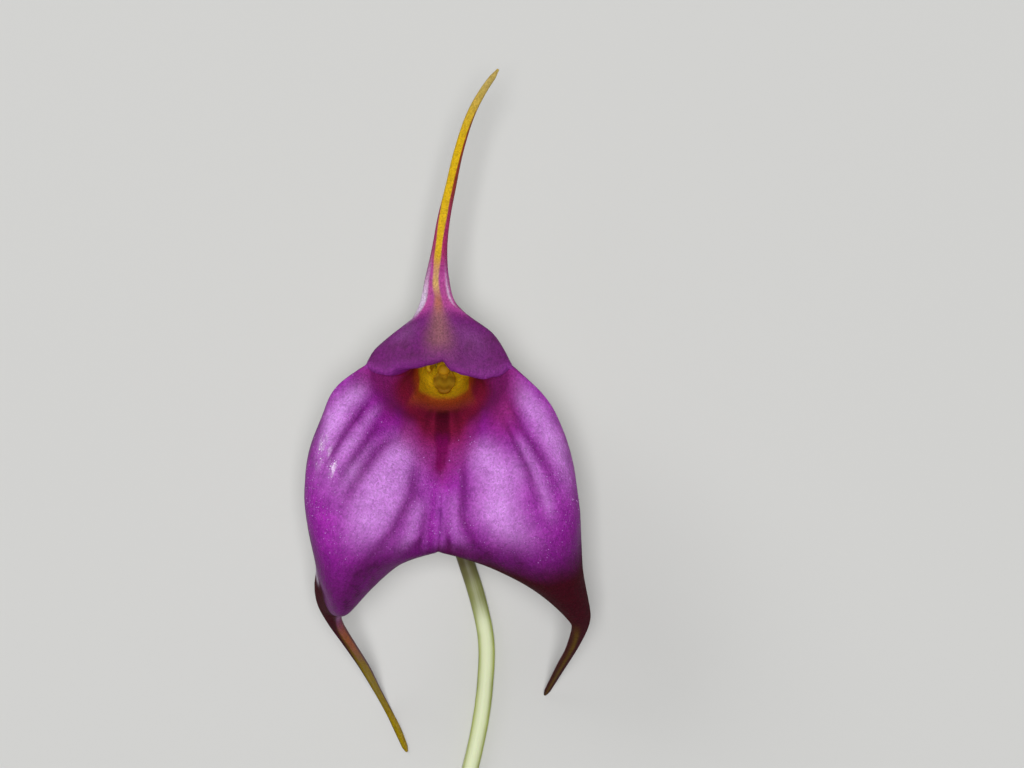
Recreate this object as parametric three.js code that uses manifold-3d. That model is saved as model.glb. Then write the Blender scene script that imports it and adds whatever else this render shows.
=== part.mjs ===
// A masdevallia flower with its stem, picked and laid on its back with the open face up.
//
// Millimetres, +Z up. While it is shaped, the flower has a frame of its own: the origin is the middle of the
// mouth, X runs to the right of the face, Y towards the upper tail and Z straight out of the mouth. At the end
// the whole group is moved, so that it lies on Z = 0 with its origin under the middle of its outline.
//
// The three sepals grew together, so they are one solid. Its middle surface is three strips, one a sepal. Each
// strip has a middle line and two margins, given station by station from the base of the tube to the tip of
// the tail. Stations 0 to 4 are rings round the tube, station 5 is the mouth and station 9 is the notch where
// the two side sepals part. Below station 5 all strips share their margins, and up to station 9 the two side
// strips share the one between them.

import * as THREE from 'three';
import { mergeVertices } from 'three/addons/utils/BufferGeometryUtils.js';
import Module from 'manifold-3d';

// ---------------------------------------------------------------- driving dimensions

const FACE_HEIGHT = 35.5;          // the mouth stands this far above the surface under the flower
const SEAT_GAP = 0.3;              // air between two pieces that sit on each other

const SEPAL_THICK = 0.8;           // wall of the tube and of the broad blades
const TAIL_FLATNESS = 0.8;         // a tail's depth over its width
const TAIL_EDGE = 0.45;            // thickness left at a tail's edge, over its depth
const TAIL_DEPTH = 1.5;            // the most that a tail is deep

const TUBE_BASE = new THREE.Vector3(0.4, 4.2, -24);
const TUBE_AXIS = new THREE.Vector3(-0.011, -0.277, 0.961).normalize();
const TUBE_RINGS = [               // distance from the base, half width, half height, drop of the centre
  { along: 0, wide: 2.35, high: 2.35, drop: 0 },
  { along: 3.9, wide: 3.9, high: 3.8, drop: 0.25 },
  { along: 8.4, wide: 4.5, high: 4.4, drop: 0.15 },
  { along: 13.1, wide: 5.2, high: 4.6, drop: 0 },
  { along: 17.8, wide: 6.9, high: 4.8, drop: 0 },
];

const OVARY_LENGTH = 5.4;
const OVARY_RADIUS = 1.9;
const OVARY_RIBS = 6;
const PEDICEL_RADIUS = 0.9;
const SCAPE_RADIUS = 1.2;
const SCAPE_TOP_RADIUS = SCAPE_RADIUS * 0.88;
const COLUMN_TOP = 7.3;            // how far the column's tip stands from the tube's base
const CAP_RADIUS = 0.85;
const BRACT_THICK = 0.6;
const PETAL_THICK = 0.6;
const LIP_THICK = 0.7;

const MOUTH = TUBE_RINGS.length;   // station of the mouth
const NOTCH = MOUTH + 4;           // station of the notch
const UPPER_COLUMNS = 14;          // quads across the upper sepal
const SIDE_COLUMNS = 12;           // quads across each side sepal

// ---------------------------------------------------------------- curves and small helpers

const vector = ([x, y, z]) => new THREE.Vector3(x, y, z);
const smooth = (from, to, value) => THREE.MathUtils.smoothstep(value, from, to);
const mix = THREE.MathUtils.lerp;

// A smooth curve through one point a station, the first of them at station `first`.
function stationCurve(first, points) {
  const curve = new THREE.CatmullRomCurve3(points.map(vector), false, 'catmullrom', 0.5);
  const last = points.length - 1;
  return (station) => curve.getPoint(THREE.MathUtils.clamp((station - first) / last, 0, 1));
}

// A seam that becomes a free margin at a station.
const parting = (seam, station, margin) => (s) => (s <= station ? seam(s) : margin(s));

// A number that changes smoothly from station to station, from [station, value] pairs.
function profile(pairs) {
  return (station) => {
    const next = pairs.findIndex(([s]) => s >= station);
    if (next === 0) return pairs[0][1];
    if (next < 0) return pairs[pairs.length - 1][1];
    const [s0, v0] = pairs[next - 1];
    const [s1, v1] = pairs[next];
    return mix(v0, v1, smooth(s0, s1, station));
  };
}

// Evenly spaced stations from one to another, with so many steps to each whole station.
function stations(from, to, stepsEach) {
  const count = Math.round((to - from) * stepsEach);
  return Array.from({ length: count + 1 }, (_, i) => from + i / stepsEach);
}

// ---------------------------------------------------------------- turning surfaces into solids

function solid(points, faces) {
  const geometry = new THREE.BufferGeometry();
  geometry.setAttribute('position', new THREE.Float32BufferAttribute(points.flatMap((p) => p.toArray()), 3));
  geometry.setIndex(faces.flat());
  return geometry;
}

// An open sheet of triangles becomes a closed solid: a front and a back face, split alike, and a rim.
function thicken(points, faces, halfThickness) {
  const normals = points.map(() => new THREE.Vector3());
  for (const face of faces) {
    const [a, b, c] = face.map((i) => points[i]);
    const areaNormal = b.clone().sub(a).cross(c.clone().sub(a));
    face.forEach((i) => normals[i].add(areaNormal));
  }
  normals.forEach((normal) => normal.normalize());

  const shifted = (side) => points.map((p, i) => p.clone().addScaledVector(normals[i], side * halfThickness[i]));
  const count = points.length;
  const edges = new Set(faces.flatMap(([a, b, c]) => [`${a},${b}`, `${b},${c}`, `${c},${a}`]));
  const all = [];
  for (const [a, b, c] of faces) {
    all.push([a, b, c], [c + count, b + count, a + count]);
    for (const [from, to] of [[a, b], [b, c], [c, a]]) {
      if (edges.has(`${to},${from}`)) continue;
      all.push([to, from, from + count], [to, from + count, to + count]);
    }
  }
  return solid([...shifted(1), ...shifted(-1)], all);
}

// A grid of points, rows by columns, as triangles. Its front looks along (down the rows) x (along a row).
function gridFaces(rows, columns, index) {
  const faces = [];
  for (let i = 0; i < rows; i += 1) {
    for (let j = 0; j < columns; j += 1) {
      const [a, b, c, d] = [index(i, j), index(i, j + 1), index(i + 1, j + 1), index(i + 1, j)];
      faces.push([a, d, b], [b, d, c]);
    }
  }
  return faces;
}

// A closed rod along a curve. radius(t, angle) gives its surface, with t from 0 to 1 along the curve.
function rod(curve, steps, sides, radius) {
  const frames = curve.computeFrenetFrames(steps, false);
  const points = [];
  for (let i = 0; i <= steps; i += 1) {
    const t = i / steps;
    const centre = curve.getPointAt(t);
    for (let j = 0; j < sides; j += 1) {
      const angle = (2 * Math.PI * j) / sides;
      const reach = radius(t, angle);
      points.push(centre.clone()
        .addScaledVector(frames.normals[i], reach * Math.cos(angle))
        .addScaledVector(frames.binormals[i], reach * Math.sin(angle)));
    }
  }
  const faces = gridFaces(steps, sides, (i, j) => i * sides + (j % sides)).map(([a, b, c]) => [a, c, b]);
  const start = points.push(curve.getPointAt(0)) - 1;
  const end = points.push(curve.getPointAt(1)) - 1;
  for (let j = 0; j < sides; j += 1) {
    const k = (j + 1) % sides;
    faces.push([start, k, j], [end, steps * sides + j, steps * sides + k]);
  }
  return solid(points, faces);
}

const smoothPath = (points) => new THREE.CatmullRomCurve3(points.map(vector), false, 'centripetal');

// ---------------------------------------------------------------- the calyx

// A point on the tube's middle surface, at an angle round its axis seen from the front.
const TUBE_RIGHT = new THREE.Vector3(1, 0, 0);
const TUBE_UP = TUBE_AXIS.clone().cross(TUBE_RIGHT).normalize();
function tubePoint({ along, wide, high, drop }, degrees) {
  const angle = THREE.MathUtils.degToRad(degrees);
  return TUBE_BASE.clone()
    .addScaledVector(TUBE_AXIS, along)
    .addScaledVector(TUBE_RIGHT, wide * Math.cos(angle))
    .addScaledVector(TUBE_UP, high * Math.sin(angle) - drop)
    .toArray();
}
const tubeLine = (degrees) => TUBE_RINGS.map((ring) => tubePoint(ring, degrees));

// The three seams, from the tube's base up to the point where they part.
const SINUS_RIGHT = [9.9, 2.6, -0.8];
const SINUS_LEFT = [-10.2, 2.7, -0.8];
const NOTCH_POINT = [-0.3, -23.1, -2.8];
const seamRight = stationCurve(0, [...tubeLine(30), SINUS_RIGHT]);
const seamLeft = stationCurve(0, [...tubeLine(150), SINUS_LEFT]);
const seamBelow = stationCurve(0, [
  ...tubeLine(270), [0.3, -7.8, -4.9], [0.3, -11.4, -3.0], [0.2, -15.7, -1.7], [0, -19.8, -1.5], NOTCH_POINT,
]);

// A tail's two margins and middle line, from centres with their half widths.
function tail(centres, across) {
  const towards = new THREE.Vector3(...across).normalize();
  const lines = { start: [], mid: [], end: [] };
  centres.forEach(([x, y, z, halfWidth], i) => {
    const before = vector(centres[Math.max(i - 1, 0)]);
    const after = vector(centres[Math.min(i + 1, centres.length - 1)]);
    const along = after.sub(before).normalize();
    const side = towards.clone().addScaledVector(along, -towards.dot(along)).normalize();
    const centre = new THREE.Vector3(x, y, z);
    lines.start.push(centre.clone().addScaledVector(side, -halfWidth).toArray());
    lines.mid.push(centre.toArray());
    lines.end.push(centre.clone().addScaledVector(side, halfWidth).toArray());
  });
  return lines;
}

// The upper sepal: its ceiling comes forward, folds up at the rim over the mouth, spreads in two short wings
// and narrows to a long tail.
const upperTail = tail([
  [-0.4, 14.8, -0.3, 1.6], [-0.1, 18.8, -0.8, 1.1], [0.5, 23.3, -1.5, 0.9], [1.5, 28, -2.3, 0.76],
  [2.5, 32.6, -3.1, 0.68], [4.0, 37.5, -4.2, 0.62], [5.8, 41.2, -5.2, 0.54], [8.1, 44.6, -6, 0.4],
], [-1, 0, 0]);
const upperSepal = {
  columns: UPPER_COLUMNS,
  start: parting(seamRight, MOUTH, stationCurve(MOUTH, [
    SINUS_RIGHT, [8.9, 4.8, -1.2], [7.2, 7.2, -1.2], [4.2, 9.4, -0.8], [2.0, 11.6, -0.3], ...upperTail.start,
  ])),
  mid: stationCurve(0, [
    ...tubeLine(90), [0, 3.4, 1.0], [0, 6.0, 1.2], [-0.1, 8.4, 0.7], [-0.2, 10.4, 0.1], [-0.3, 12.2, -0.45],
    ...upperTail.mid,
  ]),
  end: parting(seamLeft, MOUTH, stationCurve(MOUTH, [
    SINUS_LEFT, [-9.2, 4.7, -1.2], [-6.6, 7.0, -1.2], [-4.1, 8.9, -0.8], [-2.7, 11.4, -0.3], ...upperTail.end,
  ])),
  tailStart: profile([[MOUTH + 4.2, 0], [MOUTH + 6.5, 1]]),
  lastStation: MOUTH + 12,
};

// The right side sepal: a broad lobe that narrows to a tail, which drops to the surface under the flower.
const rightTail = tail([
  [19.4, -35.8, -12.8, 1.15], [18.5, -38.2, -17, 0.9], [17.4, -40.5, -22, 0.8], [16.3, -43.0, -28.6, 0.65],
  [15.0, -45.9, -35.3, 0.45],
], [0.92, 0.18, -0.35]);
const rightSepal = {
  columns: SIDE_COLUMNS,
  start: parting(seamBelow, NOTCH, stationCurve(NOTCH, [
    NOTCH_POINT, [5.9, -24.8, -4], [11.5, -27.5, -5.2], [16.0, -30.8, -6.8], [18.4, -33.5, -9.2],
    ...rightTail.start,
  ])),
  mid: stationCurve(0, [
    ...tubeLine(330), [8.0, -4.2, -2.7], [10.4, -8.6, 0.4], [12.6, -14, 2.0], [14, -19.3, 2.0], [15, -23.5, 1.0],
    [16, -27, -0.8], [17.5, -29.6, -3], [18.9, -31.8, -5.8], [19.8, -33.6, -9.0], ...rightTail.mid,
  ]),
  end: parting(seamRight, MOUTH, stationCurve(MOUTH, [
    SINUS_RIGHT, [14.6, -1.7, -1.0], [17.0, -6.2, -2.0], [18.5, -11.1, -3.2], [19.2, -16.2, -4.2],
    [19.6, -21, -5], [19.9, -26, -6], [20.6, -30, -7.7], [21.0, -33.0, -10], ...rightTail.end,
  ])),
  tailStart: profile([[MOUTH + 6, 0], [MOUTH + 9, 1]]),
  lastStation: MOUTH + 13,
};

// The left side sepal: its lobe folds back at the end, and the tail comes out from behind the fold and
// drops to the surface, where its last third lies.
const leftTail = tail([
  [-15.0, -34.4, -13.8, 1.2], [-13.2, -37.6, -17.8, 1.0], [-11.4, -41, -23.4, 0.9],
  [-9.8, -44.8, -30.4, 0.68], [-8.4, -47.9, -34.4, 0.58], [-6.9, -51.0, -34.98, 0.54], [-5.5, -54.3, -35.15, 0.4],
], [0.85, -0.52, 0]);
const leftSepal = {
  columns: SIDE_COLUMNS,
  start: parting(seamLeft, MOUTH, stationCurve(MOUTH, [
    SINUS_LEFT, [-14.5, -0.4, -1.0], [-16.5, -4.6, -2], [-18.3, -9.4, -3], [-18.9, -14.1, -3.8],
    [-18.6, -18.6, -4.5], [-17.8, -22.6, -5.5], [-17.5, -26, -7], [-17.8, -28.5, -9], [-17.3, -31, -11],
    ...leftTail.start,
  ])),
  mid: stationCurve(0, [
    ...tubeLine(210), [-8.0, -4.0, -2.7], [-10.4, -8.2, 0.4], [-12.4, -13, 2.0], [-13.6, -18.3, 2.2],
    [-14, -22.6, 1.6], [-14.2, -26, 0.6], [-14.6, -29.3, -1.2], [-14.7, -31.6, -4], [-15.4, -31.9, -7.4],
    [-15.8, -32.2, -10.6], ...leftTail.mid,
  ]),
  end: parting(seamBelow, NOTCH, stationCurve(NOTCH, [
    NOTCH_POINT, [-5.1, -24.7, -4], [-9.1, -27.8, -4.5], [-12.3, -30.8, -5], [-13.7, -31.7, -7.6],
    [-14.2, -32.3, -10.5], ...leftTail.end,
  ])),
  tailStart: profile([[MOUTH + 7, 0], [MOUTH + 10, 1]]),
  lastStation: MOUTH + 16,
};

// How round a strip's section is: 0.5 closes three strips to a smooth ring, 0 is a plain arch.
const sectionRoundness = profile([[3, 0.5], [MOUTH + 0.5, 0]]);

// The rim over the mouth hangs down on both sides of its middle.
const rimDroop = profile([
  [-1, 0], [-0.8, 1.3], [-0.62, 1.85], [-0.36, 1.5], [-0.19, 1.0], [-0.05, -0.3], [0.2, 0.15], [0.35, 0.5],
  [0.58, 0.6], [0.74, 1.25], [0.86, 0.9], [1, 0],
]);
const rimReach = profile([[MOUTH - 1.2, 0], [MOUTH, 1], [MOUTH + 1, 0]]);

// Furrows of a side sepal. `side` runs from 0 at the seam between the two to 1 at the outer margin.
const FURROWS = [
  { from: 6.4, to: 10, side: [0.08, 0.08], width: 0.05, depth: 0.3 },
  { from: 5.4, to: 10, side: [0.18, 0.27], width: 0.08, depth: 0.4 },
  { from: 5.0, to: 8.7, side: [0.64, 0.68], width: 0.06, depth: 0.6 },
  { from: 5.6, to: 8.6, side: [0.8, 0.84], width: 0.05, depth: 0.35 },
];
function furrowDepth(station, side) {
  return FURROWS.reduce((sum, { from, to, side: [first, last], width, depth }) => {
    const centre = mix(first, last, (station - from) / (to - from));
    const reach = smooth(from, from + 1, station) * (1 - smooth(to - 1, to, station));
    return sum + depth * reach * Math.exp(-(((side - centre) / width) ** 2));
  }, 0);
}

function sepalPoint(sepal, station, w) {
  const start = sepal.start(station);
  const end = sepal.end(station);
  const mid = sepal.mid(station);
  const chord = start.clone().lerp(end, (1 + w) / 2);
  const rise = mid.sub(start.add(end).multiplyScalar(0.5));
  const point = chord.addScaledVector(rise, (1 - w * w) * (1 + sectionRoundness(station) * w * w));
  if (sepal === upperSepal) {
    point.y -= rimDroop(w) * rimReach(station);
  } else {
    const side = sepal === rightSepal ? (1 + w) / 2 : (1 - w) / 2;
    point.z -= furrowDepth(station, side);
  }
  return point;
}

// Half the sepal's thickness: even on the blade, round across a tail.
function sepalHalfThickness(sepal, station, w) {
  const blade = SEPAL_THICK / 2;
  const tailness = sepal.tailStart(station);
  if (tailness === 0) return blade;
  const halfWidth = sepal.start(station).distanceTo(sepal.end(station)) / 2;
  const round = TAIL_FLATNESS * halfWidth * mix(TAIL_EDGE, 1, Math.sqrt(1 - w * w));
  return mix(blade, Math.min(round, TAIL_DEPTH / 2), tailness);
}

function calyxGeometry() {
  const points = [];
  const halfThickness = [];
  const known = new Map();
  const vertex = (sepal, station, w) => {
    const point = sepalPoint(sepal, station, w);
    const key = point.toArray().map((value) => value.toFixed(5)).join();
    if (!known.has(key)) {
      known.set(key, points.push(point) - 1);
      halfThickness.push(sepalHalfThickness(sepal, station, w));
    }
    return known.get(key);
  };
  const faces = [];
  for (const [sepal, rowsEach] of [[upperSepal, 3], [rightSepal, 2], [leftSepal, 2]]) {
    const rows = [
      ...stations(0, MOUTH - 1, 2), ...stations(MOUTH - 1, MOUTH + 1, 4).slice(1),
      ...stations(MOUTH + 1, sepal.lastStation, rowsEach).slice(1),
    ];
    const ids = rows.map((station) => Array.from({ length: sepal.columns + 1 }, (_, j) => (
      vertex(sepal, station, -1 + (2 * j) / sepal.columns))));
    faces.push(...gridFaces(rows.length - 1, sepal.columns, (i, j) => ids[i][j]));
  }
  return thicken(points, faces, halfThickness);
}

// ---------------------------------------------------------------- the pieces in the throat

// These are shaped in the tube's frame: x to the right, y up (towards the upper sepal), z along the tube from
// its base. throat.add() puts them in the flower's frame.
const throat = new THREE.Group();
throat.position.copy(TUBE_BASE);
throat.quaternion.setFromRotationMatrix(new THREE.Matrix4().makeBasis(TUBE_RIGHT, TUBE_UP, TUBE_AXIS));

// A petal: a narrow strap beside the column, 6.5 mm long, blunt, with a thicker keel on its lower edge.
function petalGeometry(side) {
  const line = smoothPath([[1.3, 0.1, SEAT_GAP], [1.75, 0.2, 2], [2.35, 0.3, 4.5], [2.35, 0.2, 6.9]]);
  const rows = 10;
  const columns = 4;
  const points = [];
  for (let i = 0; i <= rows; i += 1) {
    const t = i / rows;
    const centre = line.getPointAt(t);
    const halfWidth = mix(0.45, 1.15, smooth(0, 0.45, t)) * Math.sqrt(1 - 0.82 * smooth(0.75, 1, t) ** 2);
    for (let j = 0; j <= columns; j += 1) {
      const w = -1 + (2 * j) / columns;
      points.push(new THREE.Vector3(side * (centre.x - 0.3 * w * w), centre.y + w * halfWidth, centre.z));
    }
  }
  const index = (i, j) => i * (columns + 1) + (side > 0 ? j : columns - j);
  return thicken(points, gridFaces(rows, columns, index), points.map(() => PETAL_THICK / 2));
}

// The lip: a tongue hinged under the column, with two low keels along it and a tip that turns down.
function lipGeometry() {
  const line = smoothPath([[0, -1.75, 1.9], [0, -2.2, 3.6], [0, -2.3, 5.6], [0, -2.5, 7.4], [0, -3.0, 8.4]]);
  const rows = 12;
  const columns = 8;
  const points = [];
  for (let i = 0; i <= rows; i += 1) {
    const t = i / rows;
    const centre = line.getPointAt(t);
    const halfWidth = mix(0.75, 1.45, smooth(0, 0.5, t)) * Math.sqrt(1 - 0.7 * smooth(0.7, 1, t) ** 2);
    const keelReach = smooth(0.1, 0.4, t) * (1 - smooth(0.6, 0.85, t));
    for (let j = 0; j <= columns; j += 1) {
      const w = -1 + (2 * j) / columns;
      const keel = 0.22 * Math.exp(-(((Math.abs(w) - 0.5) / 0.2) ** 2)) * keelReach;
      points.push(new THREE.Vector3(w * halfWidth, centre.y + 0.35 * w * w + keel, centre.z));
    }
  }
  const faces = gridFaces(rows, columns, (i, j) => i * (columns + 1) + j);
  return thicken(points, faces, points.map(() => LIP_THICK / 2));
}

// manifold-3d joins and cuts the column's solids.
const wasm = await Module();
wasm.setup();
function toManifold(geometry) {
  geometry.deleteAttribute('normal');
  geometry.deleteAttribute('uv');
  const merged = mergeVertices(geometry, 1e-4);
  return new wasm.Manifold(new wasm.Mesh({
    numProp: 3,
    vertProperties: new Float32Array(merged.attributes.position.array),
    triVerts: new Uint32Array(merged.index.array),
  }));
}
function fromManifold(manifold) {
  const { vertProperties, triVerts } = manifold.getMesh();
  const geometry = new THREE.BufferGeometry();
  geometry.setAttribute('position', new THREE.BufferAttribute(vertProperties, 3));
  geometry.setIndex(new THREE.BufferAttribute(triVerts, 1));
  return geometry;
}

// The column: a stout post, flat below, with a foot that carries the lip and a hollow under its tip.
function columnGeometry() {
  const post = rod(smoothPath([[0, 0.15, SEAT_GAP], [0, 0.35, 2.5], [0, 0.45, 5], [0, 0.15, COLUMN_TOP]]), 10, 14,
    (t, angle) => mix(0.6, 0.98, smooth(0.1, 0.7, t)) * (1 + 0.12 * Math.cos(2 * angle)));
  const footPath = smoothPath([[0, 0.1, 0.9], [0, -0.7, 1.0], [0, -1.2, 1.2]]);
  const foot = rod(footPath, 4, 10, (t) => mix(0.5, 0.34, t));
  const hollow = new THREE.SphereGeometry(0.62, 14, 10);
  hollow.scale(0.9, 0.7, 1.3).translate(0, -0.75, 6.0);
  return fromManifold(toManifold(post).add(toManifold(foot)).subtract(toManifold(hollow)));
}

// The anther cap: a small dome that sits on the column's tip.
function antherCapGeometry() {
  const outline = [[0, 0]];
  for (let i = 0; i <= 6; i += 1) {
    const angle = (Math.PI / 2) * (i / 6);
    outline.push([CAP_RADIUS * Math.cos(angle), 0.18 + 0.62 * Math.sin(angle)]);
  }
  outline.splice(1, 0, [CAP_RADIUS * 0.86, 0]);
  const cap = new THREE.LatheGeometry(outline.map(([x, y]) => new THREE.Vector2(Math.max(x, 0), y)), 16);
  return cap.rotateX(Math.PI / 2).translate(0, 0.15, COLUMN_TOP + SEAT_GAP);
}

// ---------------------------------------------------------------- behind the face

// The ovary carries the calyx on its shoulder. It bends over into the pedicel, which turns under the flower.
const onTubeAxis = (along) => TUBE_BASE.clone().addScaledVector(TUBE_AXIS, along).toArray();
const pedicelPath = smoothPath([
  onTubeAxis(-SEAT_GAP), onTubeAxis(-2.6), onTubeAxis(-OVARY_LENGTH), [0.45, 6.7, -31.3],
  [0.3, 6.9, -33.2], [-0.2, 5.7, -34.5], [-0.9, 3.2, -34.2], [-1.4, 0.8, -33.5], [-1.65, -1.6, -33.2],
]);
function ovaryGeometry() {
  const length = pedicelPath.getLength();
  const radiusAt = profile([
    [0, 2.7], [1.6, OVARY_RADIUS], [2.8, OVARY_RADIUS], [OVARY_LENGTH, 1.4],
    [OVARY_LENGTH + 2, PEDICEL_RADIUS],
  ]);
  const ribs = profile([[0.3, 0], [1.3, 0.12], [4, 0.12], [OVARY_LENGTH + 1, 0]]);
  return rod(pedicelPath, 44, 24, (t, angle) => {
    const along = t * length;
    return radiusAt(along) * (1 + ribs(along) * (Math.cos(OVARY_RIBS * angle) - 0.3));
  });
}

// The scape lies along the surface, from the pedicel's foot to its cut end.
const LYING = -FACE_HEIGHT + SCAPE_RADIUS;
const scapePath = smoothPath([
  [-1.68, -1.9, -33.2], [-1.83, -5, -33.22], [-1.2, -11, -33.95], [0.7, -18.6, LYING], [3.1, -25.6, LYING],
  [5.05, -31.8, LYING], [6.25, -37.75, LYING], [6.15, -43.7, LYING], [5.45, -49.6, LYING], [3.9, -56.7, LYING],
  [1.6, -65, LYING], [-1.5, -75, LYING], [-4.8, -85, LYING],
]);
const scapeGeometry = () => rod(scapePath, 44, 12,
  (t) => mix(SCAPE_TOP_RADIUS, SCAPE_RADIUS, smooth(0, 0.12, t)));

// The floral bract: a sheath that clasps the top of the scape and opens obliquely round the pedicel, with its
// longest side on top. Its lower lip rests on the surface.
function bractGeometry() {
  const path = smoothPath([[-1.83, -5.6, -33.25], [-1.75, -3, -33.2], [-1.5, 0, -33.3], [-1.0, 3, -33.55]]);
  const inside = SCAPE_TOP_RADIUS + SEAT_GAP + BRACT_THICK / 2;
  const rows = 10;
  const sides = 14;
  const up = new THREE.Vector3(0, 0, 1);
  const points = [];
  for (let i = 0; i <= rows; i += 1) {
    for (let j = 0; j < sides; j += 1) {
      const angle = (2 * Math.PI * j) / sides;
      const t = (i / rows) * mix(0.62, 1, ((1 + Math.sin(angle)) / 2) ** 2);
      const across = path.getTangentAt(t).cross(up).normalize();
      const reach = inside + 0.25 * smooth(0.3, 1, i / rows);
      points.push(path.getPointAt(t)
        .addScaledVector(across, reach * Math.cos(angle))
        .addScaledVector(up, reach * Math.sin(angle)));
    }
  }
  const faces = gridFaces(rows, sides, (i, j) => i * sides + (j % sides));
  return thicken(points, faces, points.map(() => BRACT_THICK / 2));
}

// ---------------------------------------------------------------- the scene graph

function piece(name, geometry, color, roughness) {
  const mesh = new THREE.Mesh(geometry, new THREE.MeshStandardMaterial({ color, roughness, metalness: 0 }));
  mesh.name = name;
  return mesh;
}

throat.add(
  piece('petal_left', petalGeometry(-1), 0xc9a227, 0.5),
  piece('petal_right', petalGeometry(1), 0xc9a227, 0.5),
  piece('lip', lipGeometry(), 0x8a6414, 0.5),
  piece('column', columnGeometry(), 0xb58a1c, 0.45),
  piece('anther_cap', antherCapGeometry(), 0xd6b23a, 0.4),
);

const flower = new THREE.Group();
flower.add(
  piece('calyx', calyxGeometry(), 0x8e2f95, 0.5),
  throat,
  piece('ovary', ovaryGeometry(), 0x7f9130, 0.45),
  piece('floral_bract', bractGeometry(), 0x97a262, 0.6),
  piece('scape', scapeGeometry(), 0x9aaa55, 0.45),
);

const outline = new THREE.Box3().setFromObject(flower, true);
flower.position.set(
  -(outline.min.x + outline.max.x) / 2,
  -(outline.min.y + outline.max.y) / 2,
  -outline.min.z,
);

const orchid = new THREE.Group();
orchid.add(flower);
export default orchid;
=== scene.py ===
"""A masdevallia flower with its stem, picked and laid on its back with the open face up.

The flower is shaped in millimetres in a frame of its own: the origin is the middle of the mouth, X runs to
the right of the face, Y towards the upper tail and Z out of the mouth. place() puts it in the row frame, in
metres.
"""

import bpy
import numpy as np
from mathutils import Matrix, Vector


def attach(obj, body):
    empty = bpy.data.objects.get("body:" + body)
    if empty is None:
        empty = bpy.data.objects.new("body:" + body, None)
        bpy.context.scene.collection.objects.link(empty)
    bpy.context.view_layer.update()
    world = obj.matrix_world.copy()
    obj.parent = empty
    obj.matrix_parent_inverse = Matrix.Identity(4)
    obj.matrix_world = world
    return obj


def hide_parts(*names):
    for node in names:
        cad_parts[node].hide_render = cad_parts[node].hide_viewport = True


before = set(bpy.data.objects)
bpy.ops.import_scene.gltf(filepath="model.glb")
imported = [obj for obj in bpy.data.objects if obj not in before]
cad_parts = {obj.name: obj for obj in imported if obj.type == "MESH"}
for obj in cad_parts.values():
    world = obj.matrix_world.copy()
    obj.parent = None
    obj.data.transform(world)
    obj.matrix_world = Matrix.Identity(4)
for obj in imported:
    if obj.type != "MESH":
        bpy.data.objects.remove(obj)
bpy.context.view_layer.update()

# ---------------------------------------------------------------- the calyx: its shape
# The three sepals grow as one body: a tube behind, a hood and two broad lobes in front, and a long tail on
# each. Each sepal is a strip with two margins and a middle line, given station by station from the tube's
# base (0) through the mouth (5) and the notch between the side sepals (9) to the tip of its tail.

MOUTH = 5
NOTCH = 9
ROWS_EACH = 9                      # rows of faces to a station
UPPER_COLUMNS = 44
SIDE_COLUMNS = 60


def smooth(low, high, value):
    """A soft step from 0 at low to 1 at high."""
    t = np.clip((value - low) / (high - low), 0.0, 1.0)
    return t * t * (3.0 - 2.0 * t)


def fade(low, high, value):
    """A soft step down, from 1 at low to 0 at high."""
    return 1 - smooth(low, high, value)


def mix(first, second, share):
    return first + (second - first) * share


def bell(value, centre, width):
    return np.exp(-(((value - centre) / width) ** 2))


def profile(pairs, value):
    """A number that changes smoothly with value, from (value, number) pairs."""
    value = np.asarray(value, float)
    result = np.full(value.shape, float(pairs[0][1]))
    for (v0, n0), (v1, n1) in zip(pairs, pairs[1:]):
        result = np.where(value > v0, mix(n0, n1, smooth(v0, v1, value)), result)
    return result


def station_curve(first, points):
    """A smooth curve through one point a station, as a function of an array of stations."""
    p = np.array(points, float)
    p = np.vstack([2 * p[0] - p[1], p, 2 * p[-1] - p[-2]])

    def at(stations):
        s = np.clip(np.asarray(stations, float) - first, 0, len(points) - 1)
        i = np.minimum(s.astype(int), len(points) - 2)
        f = (s - i)[:, None]
        a, b, c, d = p[i], p[i + 1], p[i + 2], p[i + 3]
        return b + 0.5 * f * ((c - a) + f * ((2 * a - 5 * b + 4 * c - d) + f * (3 * b - a - 3 * c + d)))

    return at


def parting(seam, station, margin):
    """A seam that becomes a free margin at a station."""
    return lambda stations: np.where((stations <= station)[:, None], seam(stations), margin(stations))


def unit(vector):
    vector = np.array(vector, float)
    return vector / np.linalg.norm(vector)


def units(rows):
    """Each row of an array as a vector of length 1."""
    return rows / np.linalg.norm(rows, axis=1, keepdims=True)


TUBE_BASE = np.array([0.4, 4.2, -24.0])
TUBE_AXIS = unit([-0.011, -0.277, 0.961])
TUBE_RIGHT = np.array([1.0, 0.0, 0.0])
TUBE_UP = unit(np.cross(TUBE_AXIS, TUBE_RIGHT))
TUBE_RINGS = [                     # distance from the base, half width, half height, drop of the centre
    (0, 2.35, 2.35, 0), (3.9, 3.9, 3.8, 0.25), (8.4, 4.5, 4.4, 0.15), (13.1, 5.2, 4.6, 0),
    (17.8, 6.9, 4.8, 0),
]


def tube_line(degrees):
    angle = np.radians(degrees)
    return [TUBE_BASE + TUBE_AXIS * along + TUBE_RIGHT * wide * np.cos(angle)
            + TUBE_UP * (high * np.sin(angle) - drop) for along, wide, high, drop in TUBE_RINGS]


SINUS_RIGHT = [9.9, 2.6, -0.8]
SINUS_LEFT = [-10.2, 2.7, -0.8]
NOTCH_POINT = [-0.3, -23.1, -2.8]
seam_right = station_curve(0, [*tube_line(30), SINUS_RIGHT])
seam_left = station_curve(0, [*tube_line(150), SINUS_LEFT])
seam_below = station_curve(0, [
    *tube_line(270), [0.3, -7.8, -4.9], [0.3, -11.4, -3.0], [0.2, -15.7, -1.7], [0, -19.8, -1.5], NOTCH_POINT,
])


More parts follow.
